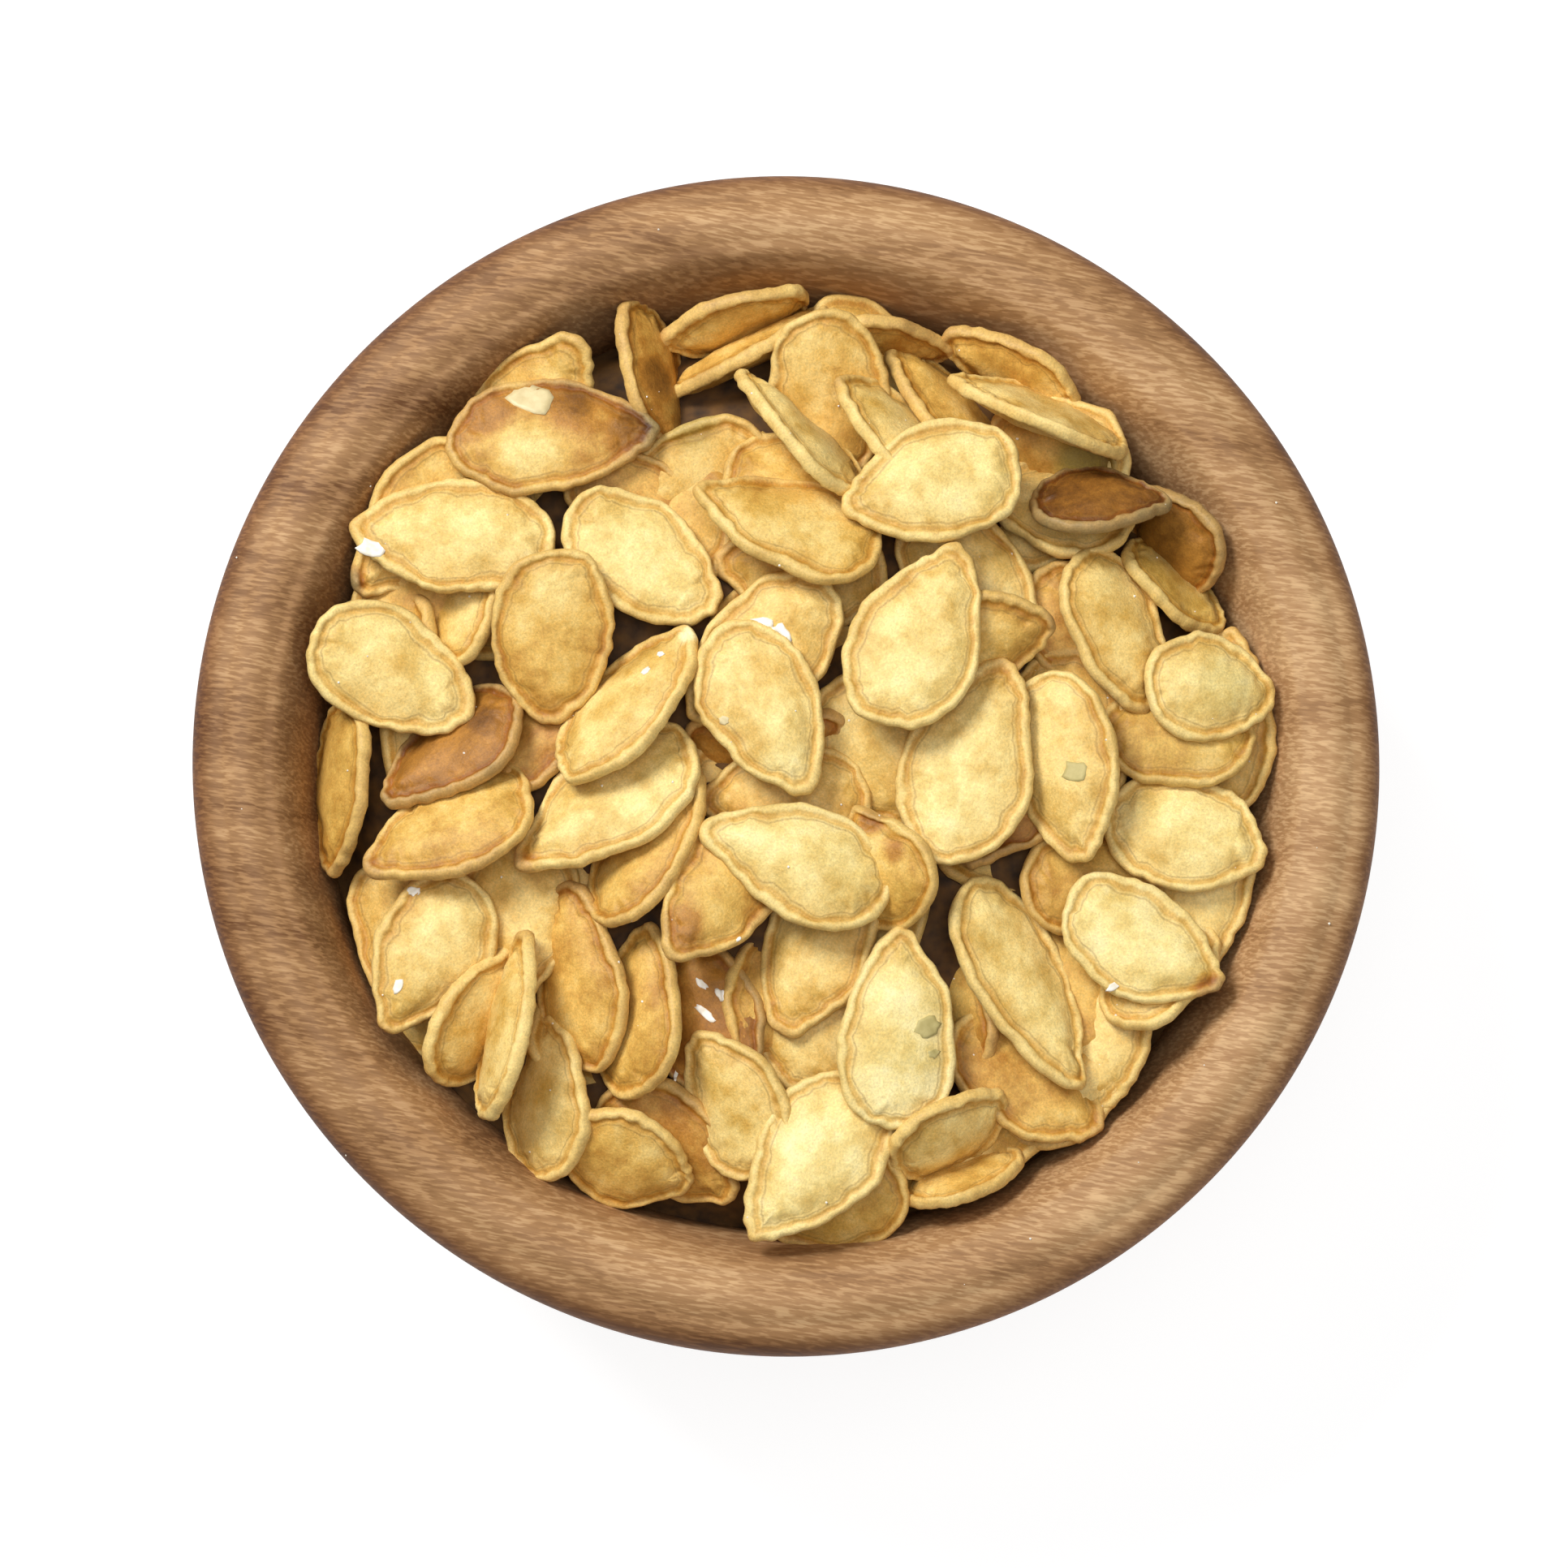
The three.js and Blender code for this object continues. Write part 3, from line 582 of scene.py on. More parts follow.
class LooseSeed:
    """A seed that is still to find its place."""

    def __init__(self, width: float, pose_at: Callable[[float], Pose], start: float) -> None:
        """Holds a seed.

        Args:
            width: Its width.
            pose_at: Gives its pose for its middle's height.
            start: The height that its middle starts from.
        """
        self.width = width
        self.pose_at = pose_at
        self.height = start
        self.shift = np.zeros(3)
        self.grid = SeedOutline().touch_grid(width)

    @property
    def pose(self) -> Pose:
        """How the seed lies now.

        Returns:
            Its pose.
        """
        pose = self.pose_at(self.height)
        pose.middle = pose.middle + self.shift
        return pose

    def faces(self) -> tuple[np.ndarray, np.ndarray]:
        """Feels the seed's two faces.

        Returns:
            Points over its lower face and over its upper one.
        """
        pose = self.pose
        along, across, depth = self.grid.T
        flat = pose.middle + np.outer(along * pose.length / 2, pose.along) + np.outer(across, pose.across)
        thick = np.outer(depth, pose.out)
        return flat - thick, flat + thick

    def move_off_wall(self, form: BowlForm, gap: float) -> None:
        """Moves it sideways until its farthest point is inside the bowl's wall.

        Args:
            form: The bowl.
            gap: How far it stays off the wall.
        """
        points = np.concatenate(self.faces())
        radius = np.hypot(points[:, 0], points[:, 1])
        over = np.where(points[:, 2] > form.height, 0, radius - form.inside_radius(points[:, 2], gap))
        worst = int(np.argmax(over))
        if over[worst] > 0:
            self.shift[:2] -= points[worst, :2] * over[worst] / radius[worst]

    def press_under(
        self, ceiling: HeightField, lowest: HeightField, form: BowlForm, rule: HeapRule
    ) -> None:
        """Raises it until it presses against the ceiling, and lowers the ceiling under it.

        Args:
            ceiling: What covers it.
            lowest: How low the ceiling may go.
            form: The bowl that it stays inside.
            rule: How far it may press in.
        """
        for _ in range(rule.settling_rounds):
            depths = ceiling.depths_of(self.faces()[1])
            pressed = depths[int(rule.contact_share * len(depths))]
            self.height += float(min(pressed, depths[0] + rule.deepest_press))
            self.move_off_wall(form, rule.gap)
        upper = self.faces()[1]
        cells = ceiling.cells_of(upper)
        np.minimum.at(ceiling.height, cells, upper[:, 2] - rule.lap)
        ceiling.height[cells] = np.maximum(ceiling.height[cells], lowest.height[cells])

    def sink_onto(self, ground: HeightField, form: BowlForm, rule: HeapRule) -> None:
        """Lets it sink, where it hangs free, until it bites into what lies under it.

        Args:
            ground: What lies under it, which rises to its upper face.
            form: The bowl that it stays inside.
            rule: How far it bites.
        """
        lower = self.faces()[0]
        risen = ground.depths_of(lower)[::-1]
        clearance = rule.bite - float(risen[int(rule.contact_share * len(risen))])
        self.height -= max(0.0, clearance)
        self.move_off_wall(form, rule.gap)
        upper = self.faces()[1]
        np.maximum.at(ground.height, ground.cells_of(upper), upper[:, 2])


@dataclass
class SettledHeap:
    """All the seeds in their places: those that show, and those that lie underneath."""

    sight: Sight
    form: BowlForm
    rule: HeapRule = field(default_factory=HeapRule)
    shown: list[LooseSeed] = field(default_factory=list)
    underneath: list[LooseSeed] = field(default_factory=list)

    def seen_seed(self, place: SeedPlace) -> LooseSeed:
        """Starts a seed whose two ends stay where the photograph shows them.

        Args:
            place: Where it shows.

        Returns:
            The loose seed.
        """

        def pose_at(height: float) -> Pose:
            """Its pose when its middle is at a height."""
            tip = self.sight.point_at(place.tip, height)
            return lay_out(tip, self.sight.point_at(place.blunt, height), place.tilt, place.raised)

        return LooseSeed(place.width, pose_at, self.form.height)

    def fill_seed(self, number: int) -> LooseSeed:
        """Starts a seed underneath, on a sunflower spiral, with its own turn and tilt.

        Args:
            number: Its number along the spiral.

        Returns:
            The loose seed.
        """
        rule = self.rule
        golden = (math.sqrt(5) - 1) / 2
        radius = (self.form.mouth_radius - rule.fill_inset) * math.sqrt((number + 0.5) / rule.fill_count)
        bearing = number * golden * math.tau
        heading = (number * rule.heading_step) % 1 * math.tau
        tilt = rule.fill_least_tilt
        tilt += (rule.fill_most_tilt - rule.fill_least_tilt) * ((number * rule.tilt_step) % 1)
        raised = (number * rule.raised_step) % 1 * 360
        reach = np.array([math.cos(heading), math.sin(heading), 0.0])
        reach *= rule.fill_length / 2 * math.cos(math.radians(tilt))

        def pose_at(height: float) -> Pose:
            """Its pose when its middle is at a height."""
            middle = np.array([radius * math.cos(bearing), radius * math.sin(bearing), height])
            return lay_out(middle - reach, middle + reach, tilt, raised)

        return LooseSeed(rule.fill_width, pose_at, self.form.height)

    def settle(self) -> None:
        """Presses every seed up under the heap's top, then lets down those that hang free."""
        rule, form = self.rule, self.form
        ceiling = HeightField(lambda radius: rule.top(form, radius))
        loosest = HeightField(lambda radius: rule.loosest(form, radius))
        core = HeightField(lambda radius: rule.core_top(form, radius))
        self.shown = [self.seen_seed(place) for place in SEEDS_THAT_SHOW]
        for each in reversed(self.shown):
            each.press_under(ceiling, loosest, form, rule)
        highest_fill = HeightField(lambda radius: rule.top(form, radius) - rule.fill_depth)
        ceiling.height = np.minimum(ceiling.height, highest_fill.height)
        self.underneath = [self.fill_seed(number) for number in range(rule.fill_count)]
        for each in self.underneath:
            each.press_under(ceiling, core, form, rule)
        for each in [*reversed(self.underneath), *self.shown]:
            each.sink_onto(core, form, rule)
        log.info("settled %d seeds that show and %d underneath", len(self.shown), len(self.underneath))


# ---- Finishes ------------------------------------------------------------------------------------


@dataclass(frozen=True)
class TurnedWoodFinish:
    """Turned hardwood, sanded and oiled: brown, with wavy growth rings and short silky streaks along X.

    Sanding leaves it nearly matt. Its pale streaks are partly the cut fibres' colour and partly
    painted sheen where they catch the light. The outer rounding and inside wall have painted shade.
    """

    dark: str = "#6a4424"
    middle: str = "#a87f54"
    light: str = "#d6b081"
    # Painted shade: the tint that the wood is multiplied towards on its outer rounding and down the inside
    # wall.
    painted_shade_tint: str = "#b39470"
    ring_spacing_mm: float = 8.5
    fibre_mm: tuple[float, float, float] = (3.4, 0.23, 0.8)
    streak_mm: tuple[float, float, float] = (1.7, 0.28, 0.8)
    patch_mm: tuple[float, float, float] = (22.0, 8.0, 12.0)
    bend_mm: tuple[float, float, float] = (55.0, 34.0, 34.0)
    bend_by_mm: float = 34.0
    # Painted light: how much paler the wood is made for each millimetre towards +X.
    painted_light_per_mm: float = 0.0026
    grain_slope: float = math.radians(9)
    ring_share: float = 0.5
    fibre_share: float = 0.55
    streak_and_sheen_share: float = 0.26
    patch_share: float = 0.8
    darker_by: float = 0.45
    streak_edges: tuple[float, float] = (0.45, 0.61)
    streak_depth_mm: float = 0.05
    streak_relief: float = 0.4
    roughness: float = 0.62
    specular: float = 0.28

    def build(self) -> bpy.types.Material:
        """Builds the material.

        Returns:
            The material.
        """
        material, tree, shader = new_material("oiled_turned_hardwood")
        place = add(tree, "ShaderNodeTexCoord").outputs["Object"]
        in_mm = add(
            tree,
            "ShaderNodeMapping",
            {"Vector": place, "Scale": (1 / MM, 1 / MM, 1 / MM), "Rotation": (0, 0, self.grain_slope)},
        ).outputs[0]

        # Each noise is stretched along the fibres, by the size of what it stands for.
        noise = {}
        for name, size, detail in (
            ("bend", self.bend_mm, 2.0),
            ("fibre", self.fibre_mm, 4.0),
            ("streak", self.streak_mm, 2.0),
            ("patch", self.patch_mm, 3.0),
        ):
            stretch = {"Vector": in_mm, "Scale": tuple(1 / length for length in size)}
            vector = add(tree, "ShaderNodeMapping", stretch).outputs[0]
            noise[name] = add(
                tree, "ShaderNodeTexNoise", {"Vector": vector, "Scale": 1.0, "Detail": detail}
            ).outputs["Fac"]

        # The rings: slow waves across the fibres, bent by the way the tree grew.
        along, across, _ = add(tree, "ShaderNodeSeparateXYZ", {0: in_mm}).outputs
        bend = {0: noise["bend"], 1: self.bend_by_mm, 2: across}
        bent = add(tree, "ShaderNodeMath", bend, operation="MULTIPLY_ADD").outputs[0]
        spacing = {0: bent, 1: 1 / self.ring_spacing_mm}
        phase = add(tree, "ShaderNodeMath", spacing, operation="MULTIPLY").outputs[0]
        saw = add(tree, "ShaderNodeMath", {0: phase}, operation="FRACT").outputs[0]

        # Across one ring: a dark edge, a quick rise to pale early wood, a slow fall to the next edge.
        ring = add(
            tree,
            "ShaderNodeValToRGB",
            {"Fac": saw},
            stops=[
                (0.0, "#4a4a4a"),
                (0.06, "#8c8c8c"),
                (0.5, "#b8b8b8"),
                (0.85, "#808080"),
                (1.0, "#4a4a4a"),
            ],
        ).outputs[0]

        # All of them add up to one tone, from 0, dark, to 1, light; the streaks are the crispest.
        # The streaks' pale colour is partly the fibres' own and partly painted sheen, where the cut fibres
        # catch the light.
        low, high = self.streak_edges
        streak = add(
            tree,
            "ShaderNodeMapRange",
            {"Value": noise["streak"], "From Min": low, "From Max": high},
            interpolation_type="SMOOTHSTEP",
        ).outputs[0]
        # Painted light: the last term makes the wood steadily paler towards +X, standing in for the side
        # where the light falls brighter.
        tone = -self.darker_by
        for part, share in (
            (ring, self.ring_share),
            (noise["fibre"], self.fibre_share),
            (streak, self.streak_and_sheen_share),
            (noise["patch"], self.patch_share),
            (along, self.painted_light_per_mm),
        ):
            term = {0: part, 1: share, 2: tone}
            tone = add(tree, "ShaderNodeMath", term, operation="MULTIPLY_ADD").outputs[0]
        colour = add(
            tree,
            "ShaderNodeValToRGB",
            {"Fac": tone},
            stops=[(0.0, self.dark), (0.5, self.middle), (1.0, self.light)],
        ).outputs[0]
        # Painted shade: the wood is darkened towards its shade tint on the outer rounding and down the
        # inside wall.
        soaked = add(tree, "ShaderNodeAttribute", attribute_name="soaked").outputs["Fac"]
        painted_shade_tint = add(
            tree,
            "ShaderNodeMix",
            {0: soaked, 6: colour, 7: linear(self.painted_shade_tint)},
            data_type="RGBA",
            blend_type="MULTIPLY",
        ).outputs[2]
        tree.links.new(painted_shade_tint, shader.inputs["Base Color"])
        shader.inputs["Roughness"].default_value = self.roughness
        shader.inputs["Specular IOR Level"].default_value = self.specular
        relief = {
            "Strength": self.streak_relief,
            "Distance": self.streak_depth_mm * MM,
            "Height": noise["streak"],
        }
        bump = add(tree, "ShaderNodeBump", relief).outputs[0]
        tree.links.new(bump, shader.inputs["Normal"])
        return material


@dataclass(frozen=True)
class SeedShellFinish:
    """A pumpkin seed's dry shell, roasted and salted: a cream face inside a golden, wrinkled border.

    Roasting turns the border's groove golden and the tip brown first, then whole faces. The skin
    dries to a satin film with a fine grain, and some of the green inner skin shows through.
    """

    name: str = "roasted_seed_shell"
    pale: str = "#fef1b8"
    cream: str = "#f9e095"
    straw: str = "#e3b75e"
    gold: str = "#bb8133"
    brown: str = "#8a5a20"
    burnt: str = "#4a290f"
    band: str = "#dabb72"
    line: str = "#8a6228"
    lip: str = "#f6dc94"
    olive: str = "#d3c68a"
    green: str = "#8a7a24"
    haze_mm: float = 9.0
    cloud_mm: float = 3.6
    mottle_mm: float = 1.0
    grain_mm: float = 0.22
    band_inset_mm: float = 1.0
    band_half_mm: float = 0.42
    line_inset_mm: float = 1.48
    line_half_mm: float = 0.17
    lip_mm: float = 0.62
    gold_to_mm: float = 3.4
    wander_mm: float = 0.36
    roast_share: float = 0.62
    cloud_share: float = 0.34
    haze_share: float = 0.38
    mottle_share: float = 0.3
    rawer_by: float = 0.36
    speckle: tuple[float, float] = (0.78, 1.16)
    grain_depth_mm: float = 0.07
    grain_relief: float = 0.7
    mottle_depth_mm: float = 0.14
    mottle_relief: float = 0.6
    roughness: float = 0.5
    specular: float = 0.36

    def build(self) -> bpy.types.Material:
        """Builds the material.

        Returns:
            The material.
        """
        material, tree, shader = new_material(self.name)
        place = add(tree, "ShaderNodeAttribute", attribute_name="place").outputs["Vector"]
        rim = add(tree, "ShaderNodeAttribute", attribute_name="rim_mm").outputs["Fac"]
        tone = add(tree, "ShaderNodeAttribute", attribute_name="tone").outputs["Vector"]
        roast, green, pale = add(tree, "ShaderNodeSeparateXYZ", {0: tone}).outputs
        noise = {}
        for name, size, detail, rough in (
            ("haze", self.haze_mm, 2.0, 0.5),
            ("cloud", self.cloud_mm, 3.0, 0.55),
            ("mottle", self.mottle_mm, 4.0, 0.65),
            ("grain", self.grain_mm, 3.0, 0.7),
        ):
            inputs = {"Vector": place, "Scale": 1 / size, "Detail": detail, "Roughness": rough}
            noise[name] = add(tree, "ShaderNodeTexNoise", inputs).outputs["Fac"]

        # The border's lines wander a little, as the shell wrinkles there.
        sideways = {0: noise["mottle"], 1: self.wander_mm, 2: -self.wander_mm / 2}
        wander = add(tree, "ShaderNodeMath", sideways, operation="MULTIPLY_ADD").outputs[0]
        inset = add(tree, "ShaderNodeMath", {0: rim, 1: wander}, operation="ADD").outputs[0]
        from_line = {}
        for name, middle in (("band", self.band_inset_mm), ("line", self.line_inset_mm)):
            off = add(tree, "ShaderNodeMath", {0: inset, 1: middle}, operation="SUBTRACT").outputs[0]
            from_line[name] = add(tree, "ShaderNodeMath", {0: off}, operation="ABSOLUTE").outputs[0]

        # How brown the shell is at each point: 0 is raw and 1 is burnt; deep seeds also carry painted shade
        # in it.
        brownness = -self.rawer_by
        for part, share in (
            (roast, self.roast_share),
            (noise["cloud"], self.cloud_share),
            (noise["haze"], self.haze_share),
            (noise["mottle"], self.mottle_share),
        ):
            term = {0: part, 1: share, 2: brownness}
            brownness = add(tree, "ShaderNodeMath", term, operation="MULTIPLY_ADD").outputs[0]
        shell = add(
            tree,
            "ShaderNodeValToRGB",
            {"Fac": brownness},
            stops=[
                (0.0, self.pale),
                (0.2, self.cream),
                (0.42, self.straw),
                (0.62, self.gold),
                (0.82, self.brown),
                (1.0, self.burnt),
            ],
        ).outputs[0]

        # Each layer rises smoothly to its most between two values, and lies over those before it:
        # raw skin in clouds, the green inner skin, the border's gold, its band, its fine dark line,
        # the paler lip, and the pale places where the shell is rubbed.
        colour = shell
        for value, none_at, full_at, most, over, kind in (
            (noise["cloud"], 0.42, 0.7, 0.45, self.olive, "MULTIPLY"),
            (green, 0.0, 1.0, 0.9, self.green, "MIX"),
            (inset, self.gold_to_mm, self.band_inset_mm, 0.24, self.band, "MULTIPLY"),
            (from_line["band"], self.band_half_mm, 0.1, 0.6, self.band, "MULTIPLY"),
            (from_line["line"], self.line_half_mm, 0.0, 0.42, self.line, "MIX"),
            (inset, self.lip_mm + 0.25, self.lip_mm - 0.2, 0.28, self.lip, "MIX"),
            (pale, 0.0, 1.0, 0.9, self.pale, "MIX"),
        ):
            share = add(
                tree,
                "ShaderNodeMapRange",
                {"Value": value, "From Min": none_at, "From Max": full_at, "To Max": most},
                interpolation_type="SMOOTHSTEP",
            ).outputs[0]
            colour = add(
                tree,
                "ShaderNodeMix",
                {0: share, 6: colour, 7: linear(over)},
                data_type="RGBA",
                blend_type=kind,
            ).outputs[2]
        darkest, lightest = self.speckle
        spread = {"From Min": 0.3, "From Max": 0.7, "To Min": darkest, "To Max": lightest}
        speckle = add(tree, "ShaderNodeMapRange", {"Value": noise["grain"], **spread}).outputs[0]
        scaling = {0: colour, 3: speckle}
        speckled = add(tree, "ShaderNodeVectorMath", scaling, operation="SCALE").outputs[0]
        tree.links.new(speckled, shader.inputs["Base Color"])
        shader.inputs["Roughness"].default_value = self.roughness
        shader.inputs["Specular IOR Level"].default_value = self.specular
        normal = None
        for part, relief, depth in (
            (noise["grain"], self.grain_relief, self.grain_depth_mm),
            (noise["mottle"], self.mottle_relief, self.mottle_depth_mm),
        ):
            inputs = {"Strength": relief, "Distance": depth * MM, "Height": part}
            if normal is not None:
                inputs["Normal"] = normal
            normal = add(tree, "ShaderNodeBump", inputs).outputs[0]
        tree.links.new(normal, shader.inputs["Normal"])
        return material


@dataclass(frozen=True)
class PlainFinish:
    """A matt finish whose tone wanders a little between two colours."""

    name: str
    dark: str
    light: str
    patch_mm: float
    roughness: float
    relief: float = 0.5
    relief_share: float = 0.1

    def build(self) -> bpy.types.Material:
        """Builds the material.

        Returns:
            The material.
        """
        material, tree, shader = new_material(self.name)
        place = add(tree, "ShaderNodeTexCoord").outputs["Object"]
        patch = add(
            tree,
            "ShaderNodeTexNoise",
            {"Vector": place, "Scale": 1 / (self.patch_mm * MM), "Detail": 3.0},
        ).outputs["Fac"]
        colour = add(
            tree, "ShaderNodeValToRGB", {"Fac": patch}, stops=[(0.3, self.dark), (0.7, self.light)]
        ).outputs[0]
        tree.links.new(colour, shader.inputs["Base Color"])
        shader.inputs["Roughness"].default_value = self.roughness
        depth = self.relief_share * self.patch_mm * MM
        uneven = {"Strength": self.relief, "Distance": depth, "Height": patch}
        bump = add(tree, "ShaderNodeBump", uneven).outputs[0]
        tree.links.new(bump, shader.inputs["Normal"])
        return material


# ---- One seed's skin -----------------------------------------------------------------------------


class Stain(Enum):
    """What a mark on a seed does to its colour."""

    BROWN = 0
    GREEN = 1
    PALE = 2


@dataclass(frozen=True)
class Mark:
    """A patch of another colour on a seed that shows, where the photograph shows it."""

    seed: str
    pixel: tuple[float, float]
    radius: float
    stain: Stain
    strength: float


MARKS = [
    Mark("a2", pixel=(690, 500), radius=5.0, stain=Stain.BROWN, strength=0.35),
    Mark("a2", pixel=(790, 535), radius=4.5, stain=Stain.BROWN, strength=0.4),
    Mark("a2", pixel=(600, 510), radius=4.0, stain=Stain.BROWN, strength=0.25),
    Mark("a2", pixel=(655, 560), radius=5.0, stain=Stain.BROWN, strength=-0.35),
    Mark("a3", pixel=(428, 715), radius=2.2, stain=Stain.BROWN, strength=0.7),
    Mark("b1", pixel=(795, 470), radius=3.0, stain=Stain.BROWN, strength=0.5),
    Mark("b9", pixel=(850, 520), radius=4.0, stain=Stain.GREEN, strength=0.45),
    Mark("b14", pixel=(1236, 570), radius=2.2, stain=Stain.BROWN, strength=0.6),
    Mark("c3", pixel=(1340, 565), radius=4.5, stain=Stain.GREEN, strength=0.75),
    Mark("c10", pixel=(1500, 850), radius=4.5, stain=Stain.GREEN, strength=0.35),
    Mark("e1", pixel=(853, 785), radius=1.4, stain=Stain.PALE, strength=0.95),
    Mark("e2", pixel=(640, 1070), radius=3.0, stain=Stain.BROWN, strength=0.45),
    Mark("e11", pixel=(838, 1140), radius=3.0, stain=Stain.BROWN, strength=0.4),
    Mark("e12", pixel=(1078, 1010), radius=1.8, stain=Stain.BROWN, strength=0.6),
    Mark("e12", pixel=(1105, 1045), radius=1.6, stain=Stain.BROWN, strength=0.4),
    Mark("i1", pixel=(1487, 1222), radius=2.2, stain=Stain.BROWN, strength=0.6),
    Mark("a8", pixel=(658, 815), radius=3.0, stain=Stain.BROWN, strength=0.12),
    Mark("a8", pixel=(670, 865), radius=2.5, stain=Stain.BROWN, strength=0.2),
    Mark("d4", pixel=(600, 895), radius=2.5, stain=Stain.BROWN, strength=0.3),
]


def ripples(points: np.ndarray, rng: np.random.Generator, shortest: float, longest: float) -> np.ndarray:
    """An uneven field, about 1 high and deep, made of waves laid over each other.

    Args:
        points: Where it is wanted, in millimetres.
        rng: Where the waves' ways come from.
        shortest: The shortest wave's length, in millimetres.
        longest: The longest wave's length.

    Returns:
        A value for each point.
    """
    waves = 14
    ways = rng.normal(size=(waves, points.shape[1]))
    ways /= np.linalg.norm(ways, axis=1)[:, None]
    lengths = np.exp(rng.uniform(math.log(shortest), math.log(longest), size=waves))
    phases = points @ (ways * math.tau / lengths[:, None]).T + rng.uniform(0, math.tau, size=waves)
    return np.sin(phases).sum(axis=1) * math.sqrt(2 / waves)


@dataclass(frozen=True)
class SeedSkin:
    """The fine form of a seed: a crinkled lip round a groove and a gently domed face.

    lip_insets are the rows of points in from the edge, in millimetres, and face_shares the rows
    further in, as shares of what is left. The pointedness is 0.5 for an ellipse and 1 for a
    straight-sided tip, and each seed's own lies between two values. Pairs named waves are the
    shortest and the longest wave of an unevenness, in millimetres. The warps are how far a seed's
    arch, twist, sideways sway and dips usually go.
    """

    around: int = 112
    lip_insets: tuple[float, ...] = (0.08, 0.22, 0.42, 0.62, 0.8, 0.95, 1.12, 1.32, 1.6)
    face_shares: tuple[float, ...] = (0.12, 0.28, 0.5, 0.76)
    lip_half: float = 0.66
    lip_round: float = 0.42
    groove_depth: float = 0.2
    groove_place: float = 0.98
    groove_half: float = 0.42
    tip_pole: float = -0.58
    blunt_pole: float = 0.62
    pointedness: tuple[float, float] = (0.62, 0.84)
    tip_half: float = 1.2
    tip_reach: float = 0.12
    crinkle: float = 0.055
    tip_crinkle: float = 0.035
    crinkle_waves: tuple[float, float] = (1.3, 3.0)
    outline_wander: float = 0.16
    outline_waves: tuple[float, float] = (5.0, 14.0)
    lip_wander: float = 0.13
    lip_waves: tuple[float, float] = (3.0, 9.0)
    lip_stretch: tuple[float, float] = (0.6, 1.5)
    wider_at_tip: float = 0.35
    lip_lumps: float = 0.06
    face_lumps: float = 0.022
    lumps_from: float = 0.4
    lump_waves: tuple[float, float] = (0.9, 2.4)
    face_dents: float = 0.075
    dent_waves: tuple[float, float] = (4.5, 11.0)
    face_from: float = 0.9
    face_full: float = 3.2
    deepest_share: float = 0.55
    least_slant: float = 0.45
    tip_half_spread: tuple[float, float] = (0.7, 1.2)
    crown_spread: tuple[float, float] = (0.9, 1.06)
    lower_at_ends: float = 0.3
    dome_power: float = 2.3
    warps: tuple[float, float, float, float] = (0.28, 0.22, 0.25, 0.14)
    dip_turns: tuple[float, float] = (2.6, 1.7)
    thickness: float = SeedOutline.thickness

    def lip_height(self, inset: np.ndarray) -> np.ndarray:
        """Half the thickness of the border.

        Args:
            inset: Distances in from the edge.

        Returns:
            Half the thickness at each.
        """
        rounded = np.clip(1 - inset / self.lip_round, 0, 1)
        off = np.clip(np.abs(inset - self.groove_place) / self.groove_half, 0, 1)
        groove = self.groove_depth * (0.5 + 0.5 * np.cos(math.pi * off))
        return self.lip_half * np.sqrt(1 - rounded**2) - groove

    def rows(self) -> int:
        """How many rows of points each face has between the edge and its middle line."""
        return len(self.lip_insets) + len(self.face_shares)

    def middle_ids(self) -> tuple[np.ndarray, int]:
        """Finds which point of the middle line each point round the edge leads to.

        Returns:
            The middle point's number for each edge point, and how many middle points there are.
        """
        u = np.cos(np.linspace(0, math.tau, self.around, endpoint=False))
        along = np.round(np.clip(u, self.tip_pole, self.blunt_pole), 6)
        values, ids = np.unique(along, return_inverse=True)
        return ids, len(values)

    def faces(self) -> list[tuple[int, ...]]:
        """The faces of any seed.

        Its points are numbered from the edge through the upper rows and their middle line, and then
        through the lower ones.

        Returns:
            The point numbers of each face.
        """
        n, rows = self.around, self.rows()
        ids, middles = self.middle_ids()
        faces = []
        for upper in (True, False):
            start = n if upper else n + rows * n + middles
            ring = [np.arange(n)] + [start + r * n + np.arange(n) for r in range(rows)]
            ring.append(start + rows * n + ids)
            for outer, inner in zip(ring, ring[1:]):
                for i in range(n):
                    j = (i + 1) % n
                    corners = (outer[i], outer[j], inner[j], inner[i])
                    kept = list(dict.fromkeys(int(c) for c in corners))
                    if len(kept) > 2:
                        faces.append(tuple(kept if upper else reversed(kept)))
        return faces

    def edge(
        self, length: float, width: float, rng: np.random.Generator
    ) -> tuple[np.ndarray, np.ndarray]:
        """The seed's outline, crinkled most round the tip.

        Args:
            length: Its length in millimetres.
            width: Its width.
            rng: Where its unevenness comes from.

        Returns:
            The outline's points, and for each the point of the middle line that it leads to.
        """
        angle = np.linspace(0, math.tau, self.around, endpoint=False)
        u = np.cos(angle)
        cap = np.clip(1 - (np.clip((u + 1) / self.tip_reach, 0, 2) - 1) ** 2, 0, 1)
        tip_half = self.tip_half * rng.uniform(*self.tip_half_spread)
        point = rng.uniform(*self.pointedness)
        fullest = (point - 0.5) / (point + 0.5)
        widest = (1 + fullest) ** point * (1 - fullest) ** 0.5
        side = width / 2 * (1 + u) ** point * (1 - u) ** 0.5 / widest
        side = (side**3 + (tip_half * np.sqrt(cap)) ** 3) ** (1 / 3)
        edge = np.stack([u * length / 2, np.sign(np.sin(angle)) * side], axis=1)
        middle = np.clip(u, self.tip_pole, self.blunt_pole) * length / 2
        centre = np.stack([middle, np.zeros(self.around)], axis=1)
        outward = edge - centre
        outward /= np.linalg.norm(outward, axis=1)[:, None]
        rough = self.crinkle + self.tip_crinkle * smoothstep(-0.5, -0.95, u)
        swell = rough * ripples(edge, rng, *self.crinkle_waves)
        swell = swell + self.outline_wander * ripples(edge, rng, *self.outline_waves)
        return edge + outward * swell[:, None], centre

